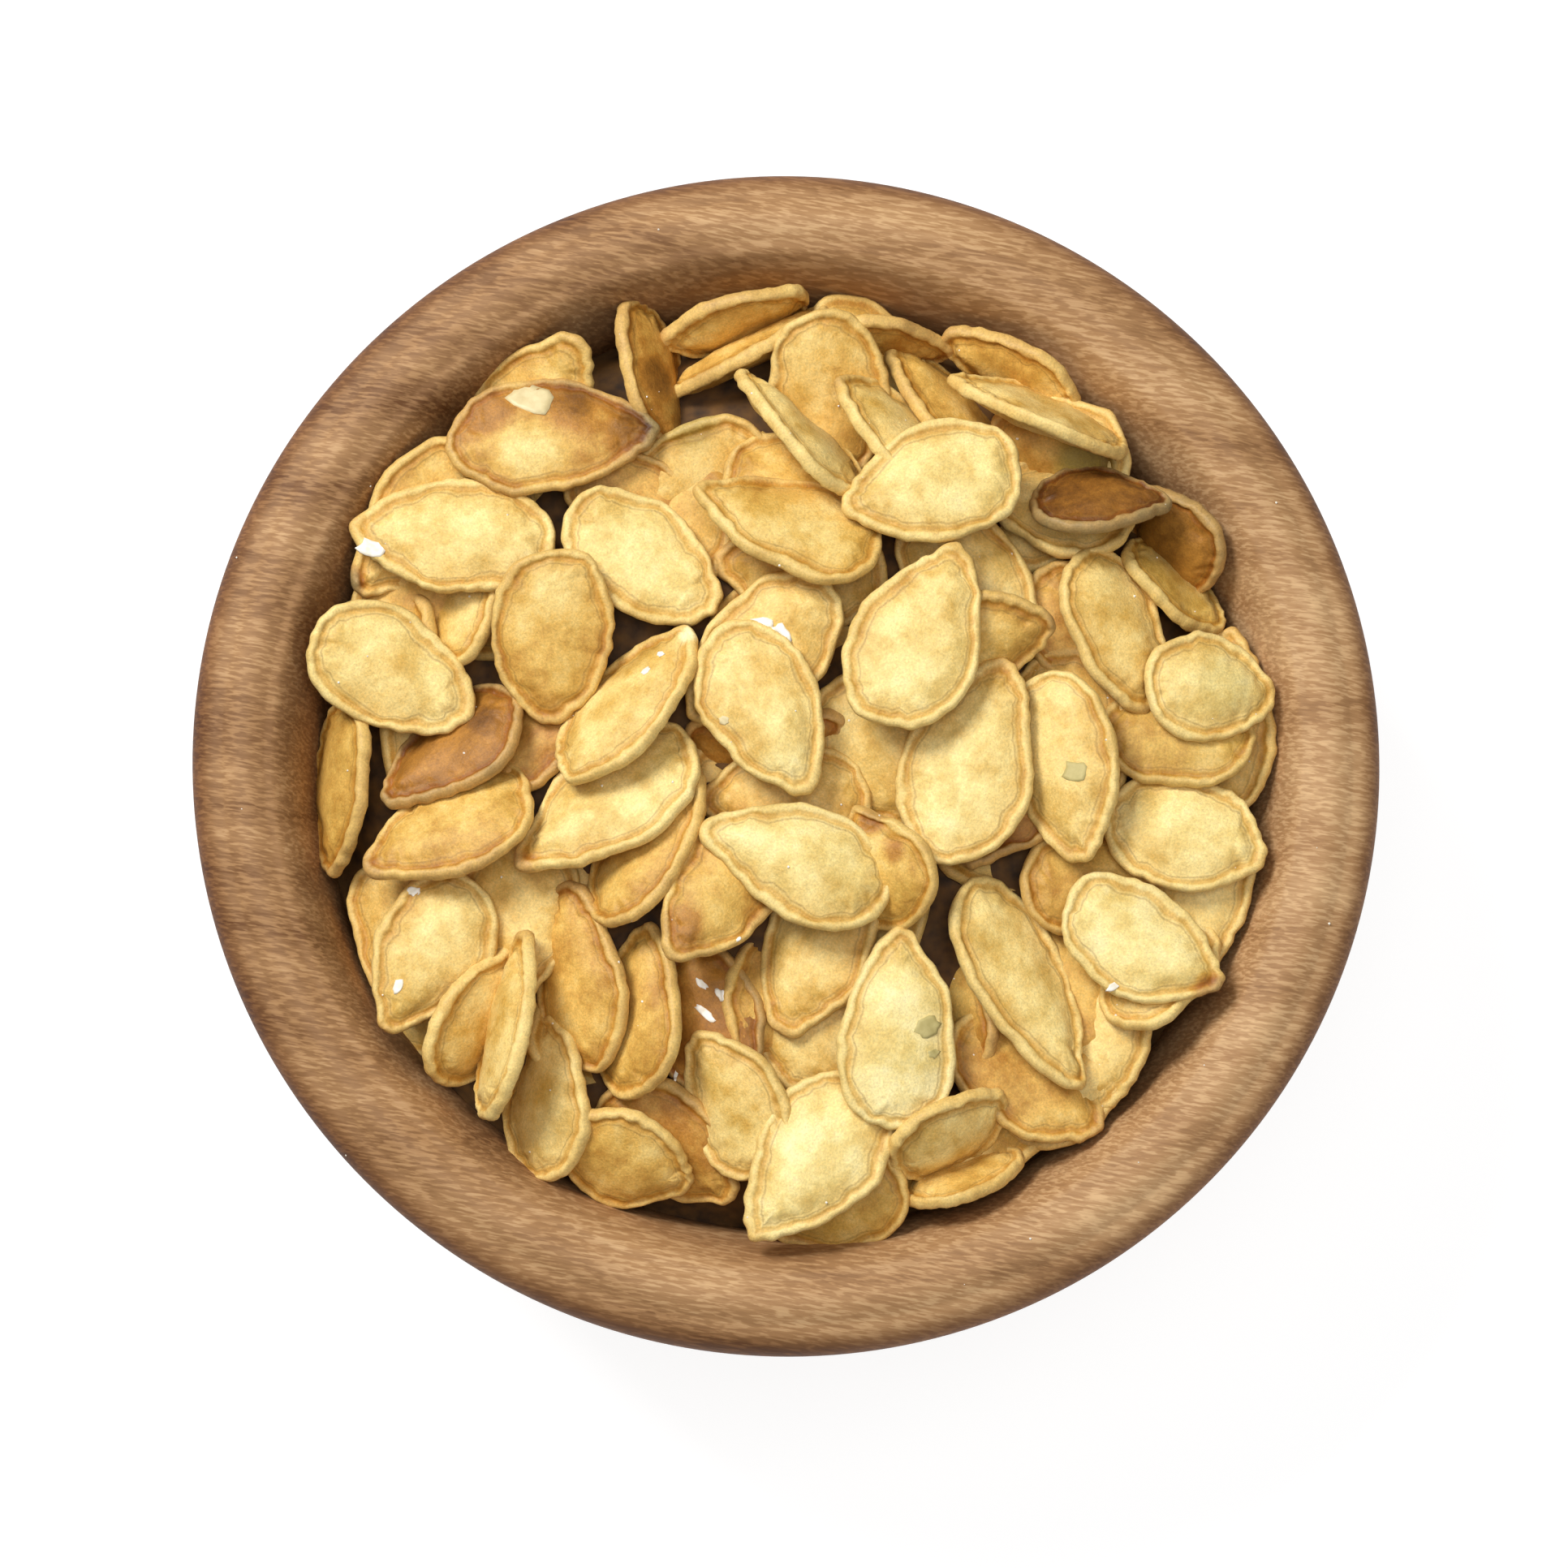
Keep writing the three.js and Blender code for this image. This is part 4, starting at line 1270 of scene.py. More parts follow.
    def shape(
        self, length: float, width: float, rng: np.random.Generator
    ) -> tuple[np.ndarray, np.ndarray]:
        """Builds the points of one seed.

        Args:
            length: Its length in millimetres.
            width: Its width.
            rng: Where its unevenness comes from.

        Returns:
            Its points (along, across, out) in millimetres, and each one's distance from the edge.
        """
        n = self.around
        edge, centre = self.edge(length, width, rng)
        inward = centre - edge
        reach = np.linalg.norm(inward, axis=1)
        inward /= reach[:, None]
        tangent = np.roll(edge, -1, axis=0) - np.roll(edge, 1, axis=0)
        normal = np.stack([-tangent[:, 1], tangent[:, 0]], axis=1)
        normal /= np.linalg.norm(normal, axis=1)[:, None] + 1e-9
        slant = np.clip(np.sum(normal * inward, axis=1), self.least_slant, 1)
        near_tip = smoothstep(-0.55, -0.95, edge[:, 0] / (length / 2))

        crown = self.thickness / 2 * rng.uniform(*self.crown_spread)
        ids, middles = self.middle_ids()
        first = np.array([int(np.argmax(ids == k)) for k in range(middles)])
        off_middle = np.abs(centre[:, 0]) / (length / 2)
        lower_at_ends = 1 - self.lower_at_ends * smoothstep(0.2, 0.9, off_middle)
        points, insets = [np.column_stack([edge, np.zeros(n)])], [np.zeros(n)]
        for upper in (1, -1):
            # The lip and the groove wander in width, and both are wider round the tip.
            stretch = (1 + self.lip_wander * ripples(edge, rng, *self.lip_waves)).clip(*self.lip_stretch)
            stretch = stretch * (1 + self.wider_at_tip * near_tip)
            last = np.minimum(self.lip_insets[-1] * stretch / slant, self.deepest_share * reach)
            side, side_insets = [], []
            for inset in self.lip_insets:
                flat = edge + inward * (last * inset / self.lip_insets[-1])[:, None]
                side.append(np.column_stack([flat, self.lip_height(np.full(n, inset))]))
                side_insets.append(np.full(n, inset))
            start = float(self.lip_height(np.array(self.lip_insets[-1])))
            for share in (*self.face_shares, 1.0):
                flat = edge + inward * (last + (reach - last) * share)[:, None]
                dome = start + (crown * lower_at_ends - start) * (1 - (1 - share) ** self.dome_power)
                row = np.column_stack([flat, dome])
                depth = self.lip_insets[-1] + share * (reach - last)
                side.append(row[first] if share == 1.0 else row)
                side_insets.append(depth[first] if share == 1.0 else depth)
            local, inset = np.concatenate(side), np.concatenate(side_insets)
            on_face = smoothstep(self.face_from, self.face_full, inset)
            lumps = self.lip_lumps + (self.face_lumps - self.lip_lumps) * on_face
            lumps = lumps * smoothstep(0.0, self.lumps_from, inset)
            local[:, 2] += lumps * ripples(local[:, :2], rng, *self.lump_waves)
            local[:, 2] += self.face_dents * on_face * ripples(local[:, :2], rng, *self.dent_waves)
            local[:, 2] *= upper
            points.append(local)
            insets.append(inset)
        return np.concatenate(points), np.concatenate(insets)

    def bend(
        self, points: np.ndarray, size: tuple[float, float], cup: float, rng: np.random.Generator
    ) -> np.ndarray:
        """Warps a seed as roasting does.

        Args:
            points: Its points.
            size: Its length and width.
            cup: How far its long edges stand above its middle, in millimetres.
            rng: Where its own warp comes from.

        Returns:
            The moved points.
        """
        u, v = points[:, 0] / (size[0] / 2), points[:, 1] / (size[1] / 2)
        arch, twist, sway, dip = rng.normal(0, self.warps)
        dip_along, dip_across = self.dip_turns
        bent = points.copy()
        bent[:, 2] += arch * (u**2 - 0.4) + twist * u * v + cup * (v**2 - 0.3)
        bent[:, 2] += dip * np.cos(dip_along * u + dip_across * v + rng.uniform(0, math.tau))
        bent[:, 1] += sway * (u**2 - 0.5) * (1 - np.abs(v).clip(0, 1)) ** 0.5
        return bent


# The seeds that are cupped like a spoon, and how far their long edges stand up, in millimetres.
CUPPED = {"c2": 0.9, "h5": 0.8, "c5": 0.3}


@dataclass
class DressedSeed:
    """A seed in its place, with what it carries for its finish."""

    name: str
    pose: Pose
    width: float
    roast: float
    green: float = 0.0
    tip_roast: float = 0.22
    soft_share: float = 0.35
    lowest_marked: float = -0.2

    def tone(self, points: np.ndarray, sight: Sight) -> np.ndarray:
        """Works out how roasted, green and pale each point of the seed is.

        Args:
            points: Its points (along, across, out) in millimetres.
            sight: The line of sight, which finds the marks.

        Returns:
            Roast, green and pale for each point.
        """
        tone = np.zeros((len(points), len(Stain)))
        near_tip = smoothstep(-0.8, -1.0, points[:, 0] / (self.pose.length / 2))
        tone[:, Stain.BROWN.value] = self.roast + self.tip_roast * near_tip
        tone[:, Stain.GREEN.value] = self.green
        for mark in MARKS:
            if mark.seed != self.name:
                continue
            ray = sight.ray(mark.pixel)
            reach = (self.pose.middle - sight.eye) @ self.pose.out / (ray @ self.pose.out)
            offset = sight.eye + ray * reach - self.pose.middle
            u, v = offset @ self.pose.along, offset @ self.pose.across
            distance = np.hypot(points[:, 0] - u, points[:, 1] - v)
            hit = smoothstep(mark.radius, self.soft_share * mark.radius, distance)
            tone[:, mark.stain.value] += mark.strength * hit * (points[:, 2] > self.lowest_marked)
        return tone


def mesh_of_seeds(
    name: str, skin: SeedSkin, seeds: list[DressedSeed], sight: Sight, draw: int
) -> bpy.types.Mesh:
    """Builds one mesh of many seeds, each with its own form and the attributes its finish reads.

    Args:
        name: The mesh's name.
        skin: The seeds' fine form.
        seeds: The seeds.
        sight: The line of sight, which finds the marks.
        draw: The fixed number that the unevenness starts from.

    Returns:
        The mesh, in metres.
    """
    template = skin.faces()
    points, faces, rims, tones, places = [], [], [], [], []
    start = 0
    for number, seed in enumerate(seeds):
        rng = np.random.default_rng(draw * 1000 + number)
        pose = seed.pose
        local, inset = skin.shape(pose.length, seed.width, rng)
        placed = skin.bend(local, (pose.length, seed.width), CUPPED.get(seed.name, 0.0), rng)
        world = (
            pose.middle
            + placed[:, :1] * pose.along
            + placed[:, 1:2] * pose.across
            + placed[:, 2:] * pose.out
        )
        points.append(world * MM)
        faces.extend(tuple(start + c for c in face) for face in template)
        rims.append(inset)
        tones.append(seed.tone(local, sight))

        # Each seed reads its pattern from a place of its own, far from the others'.
        places.append(local + rng.uniform(-500, 500, size=3))
        start += len(local)
    mesh = bpy.data.meshes.new(name)
    mesh.from_pydata(np.concatenate(points), [], faces)
    rim = mesh.attributes.new("rim_mm", "FLOAT", "POINT")
    rim.data.foreach_set("value", np.concatenate(rims).astype(np.float32))
    for attribute_name, values in (("tone", tones), ("place", places)):
        attribute = mesh.attributes.new(attribute_name, "FLOAT_VECTOR", "POINT")
        attribute.data.foreach_set("vector", np.concatenate(values).astype(np.float32).ravel())
    mesh.validate()
    return mesh


# ---- Geometry Nodes: what repeats ----------------------------------------------------------------


def new_tree(
    name: str, inputs: list[tuple[str, str, object]]
) -> tuple[bpy.types.NodeTree, bpy.types.Node]:
    """Starts a Geometry Nodes tree with named inputs.

    Args:
        name: The tree's name.
        inputs: Each input's name, socket type and value.

    Returns:
        The tree and its input node.
    """
    tree = bpy.data.node_groups.new(name, "GeometryNodeTree")
    tree.interface.new_socket(name="Geometry", in_out="INPUT", socket_type="NodeSocketGeometry")
    tree.interface.new_socket(name="Geometry", in_out="OUTPUT", socket_type="NodeSocketGeometry")
    for label, kind, value in inputs:
        socket = tree.interface.new_socket(name=label, in_out="INPUT", socket_type=kind)
        if value is not None:
            socket.default_value = value
    return tree, add(tree, "NodeGroupInput")


def end_tree(
    tree: bpy.types.NodeTree, instances: bpy.types.NodeSocket, material: bpy.types.NodeSocket
) -> None:
    """Ends a tree: its instances become real mesh and take their material.

    Args:
        tree: The tree.
        instances: The socket that gives the instances.
        material: The socket that gives their material.
    """
    real = add(tree, "GeometryNodeRealizeInstances", {"Geometry": instances})
    dressed = add(tree, "GeometryNodeSetMaterial", {"Geometry": real.outputs[0], "Material": material})
    add(tree, "NodeGroupOutput", {"Geometry": dressed.outputs[0]})


def run_tree(
    name: str, carrier: bpy.types.Mesh, tree: bpy.types.NodeTree, values: dict[str, object]
) -> bpy.types.Object:
    """Runs a tree on a mesh and keeps what it makes as a plain mesh.

    Args:
        name: The new piece's name.
        carrier: The mesh that the tree starts from.
        tree: The tree.
        values: A value for each of its named inputs.

    Returns:
        The new piece.
    """
    source = bpy.data.objects.new(f"{name}_source", carrier)
    bpy.context.scene.collection.objects.link(source)
    modifier = source.modifiers.new("nodes", "NODES")
    modifier.node_group = tree
    for item in tree.interface.items_tree:
        if item.in_out == "INPUT" and item.name in values:
            modifier[item.identifier] = values[item.name]
    depsgraph = bpy.context.evaluated_depsgraph_get()
    made = bpy.data.meshes.new_from_object(source.evaluated_get(depsgraph), depsgraph=depsgraph)
    made.name = name
    source.modifiers.remove(modifier)
    bpy.data.objects.remove(source)
    return new_piece(name, made)


def seed_layer_tree() -> bpy.types.NodeTree:
    """Builds the tree that lays one seed at every point of a mesh, turned as the point says.

    Returns:
        The tree.
    """
    tree, given = new_tree(
        "lay_seeds", [("Seed shape", "NodeSocketObject", None), ("Finish", "NodeSocketMaterial", None)]
    )
    shape = add(tree, "GeometryNodeObjectInfo", {"Object": given.outputs["Seed shape"]})
    turn = add(tree, "GeometryNodeInputNamedAttribute", {"Name": "turn"}, data_type="FLOAT_VECTOR")
    rotation = add(tree, "FunctionNodeEulerToRotation", {0: turn.outputs[0]})
    laid = add(
        tree,
        "GeometryNodeInstanceOnPoints",
        {
            "Points": given.outputs["Geometry"],
            "Instance": shape.outputs["Geometry"],
            "Rotation": rotation.outputs[0],
        },
    )
    end_tree(tree, laid.outputs[0], given.outputs["Finish"])
    return tree


def salt_tree() -> bpy.types.NodeTree:
    """Builds the tree that scatters grains over the faces of a mesh that look up.

    Returns:
        The tree.
    """
    tree, given = new_tree(
        "scatter_salt",
        [
            ("Grain shape", "NodeSocketObject", None),
            ("Finish", "NodeSocketMaterial", None),
            ("Grains per square metre", "NodeSocketFloat", 1000.0),
            ("Smallest grain", "NodeSocketFloat", 0.15 * MM),
            ("Largest grain", "NodeSocketFloat", 0.5 * MM),
            ("Lowest height", "NodeSocketFloat", 0.0),
            ("Least look up", "NodeSocketFloat", 0.45),
            ("Draw", "NodeSocketInt", 1),
        ],
    )
    normal = add(tree, "ShaderNodeSeparateXYZ", {0: add(tree, "GeometryNodeInputNormal").outputs[0]})
    place = add(tree, "ShaderNodeSeparateXYZ", {0: add(tree, "GeometryNodeInputPosition").outputs[0]})
    passes = []
    for value, least in (
        (normal.outputs["Z"], given.outputs["Least look up"]),
        (place.outputs["Z"], given.outputs["Lowest height"]),
    ):
        test = add(tree, "FunctionNodeCompare", {0: value, 1: least}, operation="GREATER_THAN")
        passes.append(test.outputs[0])
    both = add(tree, "FunctionNodeBooleanMath", {0: passes[0], 1: passes[1]})
    spread = add(
        tree,
        "GeometryNodeDistributePointsOnFaces",
        {
            "Mesh": given.outputs["Geometry"],
            "Selection": both.outputs[0],
            "Density": given.outputs["Grains per square metre"],
            "Seed": given.outputs["Draw"],
        },
    )
    turn = add(
        tree,
        "FunctionNodeRandomValue",
        {0: (0.0, 0.0, 0.0), 1: (math.tau, math.tau, math.tau), "Seed": given.outputs["Draw"]},
        data_type="FLOAT_VECTOR",
    )
    size = add(
        tree,
        "FunctionNodeRandomValue",
        {
            2: given.outputs["Smallest grain"],
            3: given.outputs["Largest grain"],
            "Seed": given.outputs["Draw"],
        },
        data_type="FLOAT",
    )
    rotation = add(tree, "FunctionNodeEulerToRotation", {0: turn.outputs[0]})
    shape = add(tree, "GeometryNodeObjectInfo", {"Object": given.outputs["Grain shape"]})
    laid = add(
        tree,
        "GeometryNodeInstanceOnPoints",
        {
            "Points": spread.outputs["Points"],
            "Instance": shape.outputs["Geometry"],
            "Rotation": rotation.outputs[0],
            "Scale": size.outputs[1],
        },
    )
    end_tree(tree, laid.outputs[0], given.outputs["Finish"])
    return tree


# ---- Sub-assemblies ------------------------------------------------------------------------------


def quarter_turns(steps: int) -> list[float]:
    """The angles of a quarter turn, in equal steps after its start."""
    return [k / steps * math.pi / 2 for k in range(1, steps + 1)]


@dataclass
class WoodenBowl:
    """The turned bowl, in its true round form."""

    form: BowlForm = field(default_factory=BowlForm)
    sides: int = 256
    wall_lean: float = 2.3
    wall_lean_depth: float = 11.0
    # Painted shade down the inside wall: how strong it grows, and the depths below the mouth over which it
    # comes in.
    inside_painted_shade: float = 0.6
    inside_painted_shade_from: float = 1
    inside_painted_shade_to: float = 9
    finish: TurnedWoodFinish = field(default_factory=TurnedWoodFinish)

    def leant_in(self, radius: float, height: float) -> tuple[float, float]:
        """A point of the inside wall, which leans in smoothly as it goes down from the rim."""
        share = float(smoothstep(0.0, self.wall_lean_depth, np.array(self.form.edge_height - height)))
        return radius * (1 - share * self.wall_lean / self.form.mouth_radius), height

    def section(self) -> list[tuple[float, float]]:
        """Works out the bowl's section.

        Returns:
            Radius and height, from the foot's middle, round the rim, to the inside's middle.
        """
        form = self.form
        points = [(form.foot_radius * k / 4, 0.0) for k in range(5)]
        for turn in quarter_turns(24):
            radius = form.foot_radius + (form.outer_radius - form.foot_radius) * math.sin(turn)
            points.append((radius, form.belly_height * (1 - math.cos(turn))))
        for turn in quarter_turns(8):
            radius = form.outer_radius - form.round_over * (1 - math.cos(turn))
            rise = form.edge_height - form.belly_height
            points.append((radius, form.belly_height + rise * math.sin(turn)))
        crown_outer = form.outer_radius - form.round_over
        for k in range(1, 13):
            across = k / 12
            radius = crown_outer + (form.rim_inner_radius - crown_outer) * across
            points.append((radius, form.edge_height + form.shoulder * math.sin(math.pi * across)))
        for turn in quarter_turns(9):
            radius = form.rim_inner_radius - form.inner_round * math.sin(turn)
            height = form.edge_height - form.inner_round_depth * (1 - math.cos(turn))
            points.append(self.leant_in(radius, height))
        for turn in quarter_turns(24)[:-1]:
            height = form.mouth_height - form.inside_depth * math.sin(turn)
            points.append(self.leant_in(float(form.inside_radius(np.array(height))), height))
        points.append((0.0, form.floor_thickness))
        return points

    def soaked(self, points: np.ndarray) -> np.ndarray:
        """How much painted shade darkens the wood: most on the outer rounding, and down the inside wall.

        Args:
            points: Points of the bowl in millimetres.

        Returns:
            A share for each point.
        """
        form = self.form
        radius, height = np.hypot(points[:, 0], points[:, 1]), points[:, 2]
        outside = smoothstep(form.outer_radius - form.round_over, form.outer_radius, radius)
        depth = form.mouth_height - height
        deep = smoothstep(self.inside_painted_shade_from, self.inside_painted_shade_to, depth)
        inside = self.inside_painted_shade * deep * (radius < form.rim_inner_radius)
        return np.maximum(outside, inside).astype(np.float32)

    def build(self) -> bpy.types.Object:
        """Turns the section round the bowl's axis and gives it its wood.

        Returns:
            The piece.
        """
        turn = np.linspace(0, math.tau, self.sides, endpoint=False)
        points, rings = [], []
        for radius, height in self.section():
            if radius == 0:
                rings.append([len(points)] * self.sides)
                points.append((0.0, 0.0, height * MM))
                continue
            rings.append(list(range(len(points), len(points) + self.sides)))
            points.extend((radius * MM * math.cos(a), radius * MM * math.sin(a), height * MM) for a in turn)
        mesh = bpy.data.meshes.new("bowl_turned")
        mesh.from_pydata(points, [], faces_between(rings))
        # The painted shade that the wood's finish reads.
        soaked = mesh.attributes.new("soaked", "FLOAT", "POINT")
        soaked.data.foreach_set("value", self.soaked(np.array(points) / MM))
        mesh.materials.append(self.finish.build())
        piece = new_piece("bowl_turned", mesh)
        join_to_object(piece, "bowl")
        return piece


@dataclass
class SeedHeap:
    """The heap of seeds: those that show, those underneath and the dark packed middle."""

    sight: Sight
    form: BowlForm
    skin: SeedSkin = field(default_factory=SeedSkin)
    shell: SeedShellFinish = field(default_factory=SeedShellFinish)
    hidden_roast: float = 0.35
    hidden_drop: float = 1.6
    edge_dip: float = 5.0
    edge_dip_width: float = 8.0
    # Painted shade: seeds that lie deeper than lit_depth below the heap's top are made browner by this much
    # for each millimetre.
    lit_depth: float = 2.0
    deep_seed_painted_shade: float = 0.03
    roast_spread: float = 0.04
    usual_green: float = 0.05
    green_spread: float = 0.12
    core_sides: int = 96
    core_rows: int = 22
    core_wall_rows: int = 12
    core_gap_share: float = 0.3
    core_lump: float = 0.5
    core_grain: float = 0.15
    core_smooth_edge: float = 3
    # Packed seeds under the heap, matt, and coloured dark brown as painted shade for the deep shadow
    # between the seeds.
    core_finish: PlainFinish = PlainFinish("packed_seeds_in_shadow", "#33200d", "#6e4a1c", 2.0, 0.8)
    layers: tuple[tuple[str, int, int], ...] = (
        ("seeds_lower", 0, 31),
        ("seeds_middle", 31, 61),
        ("seeds_upper", 61, 91),
    )

    def __post_init__(self) -> None:
        """Settles the seeds and mixes their finish."""
        self.settled = SettledHeap(self.sight, self.form)
        self.settled.settle()
        self.finish = self.shell.build()

    def build_shown(self) -> list[bpy.types.Object]:
        """Builds the seeds that show, one piece for each layer of the heap.

        Returns:
            The pieces, lowest first.
        """
        rng = np.random.default_rng(7)
        seeds = []
        for place, loose in zip(SEEDS_THAT_SHOW, self.settled.shown):
            middle = loose.pose.middle
            depth = float(self.settled.rule.top(self.form, np.hypot(middle[0], middle[1])) - middle[2])
            roast = place.roast + rng.normal(0, self.roast_spread)
            # Seeds deep in the heap are browned further as painted shade, more the deeper they lie.
            roast += self.deep_seed_painted_shade * max(0.0, depth - self.lit_depth)
            green = max(0.0, rng.normal(self.usual_green, self.green_spread))
            seeds.append(DressedSeed(place.name, loose.pose, loose.width, roast, green))
        pieces = []
        for number, (name, first, last) in enumerate(self.layers):
            mesh = mesh_of_seeds(name, self.skin, seeds[first:last], self.sight, number + 1)
            mesh.materials.append(self.finish)
            piece = new_piece(name, mesh)
            join_to_object(piece, "seed_heap")
            pieces.append(piece)
        return pieces

    def build_underneath(self) -> bpy.types.Object:
        """Lays the same plain seed at each place underneath.

        Returns:
            The piece.
        """
        rule = self.settled.rule
        skin = SeedSkin(around=48, lip_insets=(0.3, 0.75, 1.2, 1.7), face_shares=(0.4,), crinkle=0.04)
        level = Pose(np.zeros(3), *np.eye(3), rule.fill_length)
        seed = DressedSeed("underneath", level, rule.fill_width, self.hidden_roast)
        shape = new_piece("seed_shape", mesh_of_seeds("seed_shape", skin, [seed], self.sight, 9))

        carrier = bpy.data.meshes.new("seed_places")
        poses = [each.pose for each in self.settled.underneath]
        lower = np.array([0.0, 0.0, self.hidden_drop])
        carrier.from_pydata([(pose.middle - lower) * MM for pose in poses], [], [])
        turns = []
        for pose in poses:
            axes = Matrix((pose.along, pose.across, pose.out)).transposed()
            turns.extend(axes.to_euler("XYZ"))
        carrier.attributes.new("turn", "FLOAT_VECTOR", "POINT").data.foreach_set("vector", turns)
        piece = run_tree(
            "seeds_underneath", carrier, seed_layer_tree(), {"Seed shape": shape, "Finish": self.finish}
        )
        bpy.data.objects.remove(shape)
        join_to_object(piece, "seed_heap")
        return piece

    def build_core(self) -> bpy.types.Object:
        """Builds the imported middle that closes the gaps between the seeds.

        Returns:
            The piece.
        """
        form, rule = self.form, self.settled.rule
        rng = np.random.default_rng(3)
        around, rows = self.core_sides, self.core_rows
        off_wall = self.core_gap_share * rule.gap
        edge = form.mouth_radius - off_wall

        def top(radius: float) -> float:
            """Works out the core's top, which dips at the wall, where few seeds lie.

            Args:
                radius: The distance from the bowl's axis in millimetres.

            Returns:
                The height there.
            """
            dip = self.edge_dip * float(smoothstep(edge - self.edge_dip_width, edge, np.array(radius)))
            return float(rule.core_top(form, np.array(radius))) - dip

        points, rings = [(0.0, 0.0, form.floor_thickness + rule.gap)], [[0] * around]
        profile = []
        for turn in quarter_turns(self.core_wall_rows + 1)[:-1]:
            height = form.mouth_height - (form.inside_depth - rule.gap) * math.cos(turn)
            if height < top(edge):
                profile.append((float(form.inside_radius(np.array(height), off_wall)), height))
        for k in range(rows):
            radius = edge * (1 - k / rows)
            profile.append((radius, top(radius)))
        for radius, height in profile:
            rings.append(list(range(len(points), len(points) + around)))
            for k in range(around):
                angle = math.tau * k / around
                bump = 0.0
                if radius < edge - self.core_smooth_edge:
                    bump = self.core_lump * math.sin(radius * 0.9 + 5 * angle)
                    bump = bump * math.sin(7 * angle + radius * 0.4) + rng.normal(0, self.core_grain)
                points.append((radius * math.cos(angle), radius * math.sin(angle), height + bump))
        points.append((0.0, 0.0, top(0.0)))
        rings.append([len(points) - 1] * around)
        mesh = bpy.data.meshes.new("heap_core")
        mesh.from_pydata([tuple(c * MM for c in point) for point in points], [], faces_between(rings))
        mesh.materials.append(self.core_finish.build())
        piece = new_piece("heap_core", mesh)
        join_to_object(piece, "seed_heap")
        return piece


class FlakeKind(Enum):
    """What a flake on the seeds is."""

    SALT = "salt_flakes"
    SKIN = "skin_flakes"
    BARE = "bare_patches"


@dataclass(frozen=True)
class Flake:
    """A thin flake that lies on whatever shows at a pixel of the photograph."""

    pixel: tuple[float, float]
    length: float
    width: float
    turn: float
    kind: FlakeKind = FlakeKind.SALT


FLAKES = [
    Flake(pixel=(655, 490), length=4.8, width=2.8, turn=-12, kind=FlakeKind.SKIN),
    Flake(pixel=(459, 675), length=2.9, width=1.7, turn=-20),
    Flake(pixel=(796, 827), length=1.0, width=0.5, turn=35),
    Flake(pixel=(814, 806), length=0.8, width=0.6, turn=0),
    Flake(pixel=(940, 768), length=2.3, width=1.3, turn=-20),
    Flake(pixel=(964, 782), length=2.6, width=1.7, turn=-50),
    Flake(pixel=(892, 888), length=1.0, width=0.9, turn=0, kind=FlakeKind.SKIN),
    Flake(pixel=(943, 1138), length=2.0, width=0.9, turn=8, kind=FlakeKind.SKIN),
    Flake(pixel=(910, 1157), length=0.6, width=0.4, turn=60),
    Flake(pixel=(490, 1215), length=1.5, width=0.9, turn=70),
    Flake(pixel=(510, 1098), length=1.4, width=0.8, turn=10),
    Flake(pixel=(864, 1212), length=1.6, width=0.7, turn=-40),
    Flake(pixel=(888, 1226), length=1.5, width=0.8, turn=-60),
    Flake(pixel=(870, 1250), length=2.6, width=0.8, turn=-40),
    Flake(pixel=(1373, 1215), length=1.2, width=0.7, turn=20),
    Flake(pixel=(832, 1325), length=1.5, width=0.4, turn=75),
    Flake(pixel=(1325, 950), length=2.6, width=2.2, turn=0, kind=FlakeKind.BARE),
    Flake(pixel=(1144, 1266), length=2.5, width=2.1, turn=40, kind=FlakeKind.BARE),
    Flake(pixel=(1151, 1298), length=1.2, width=0.9, turn=20, kind=FlakeKind.BARE),
]


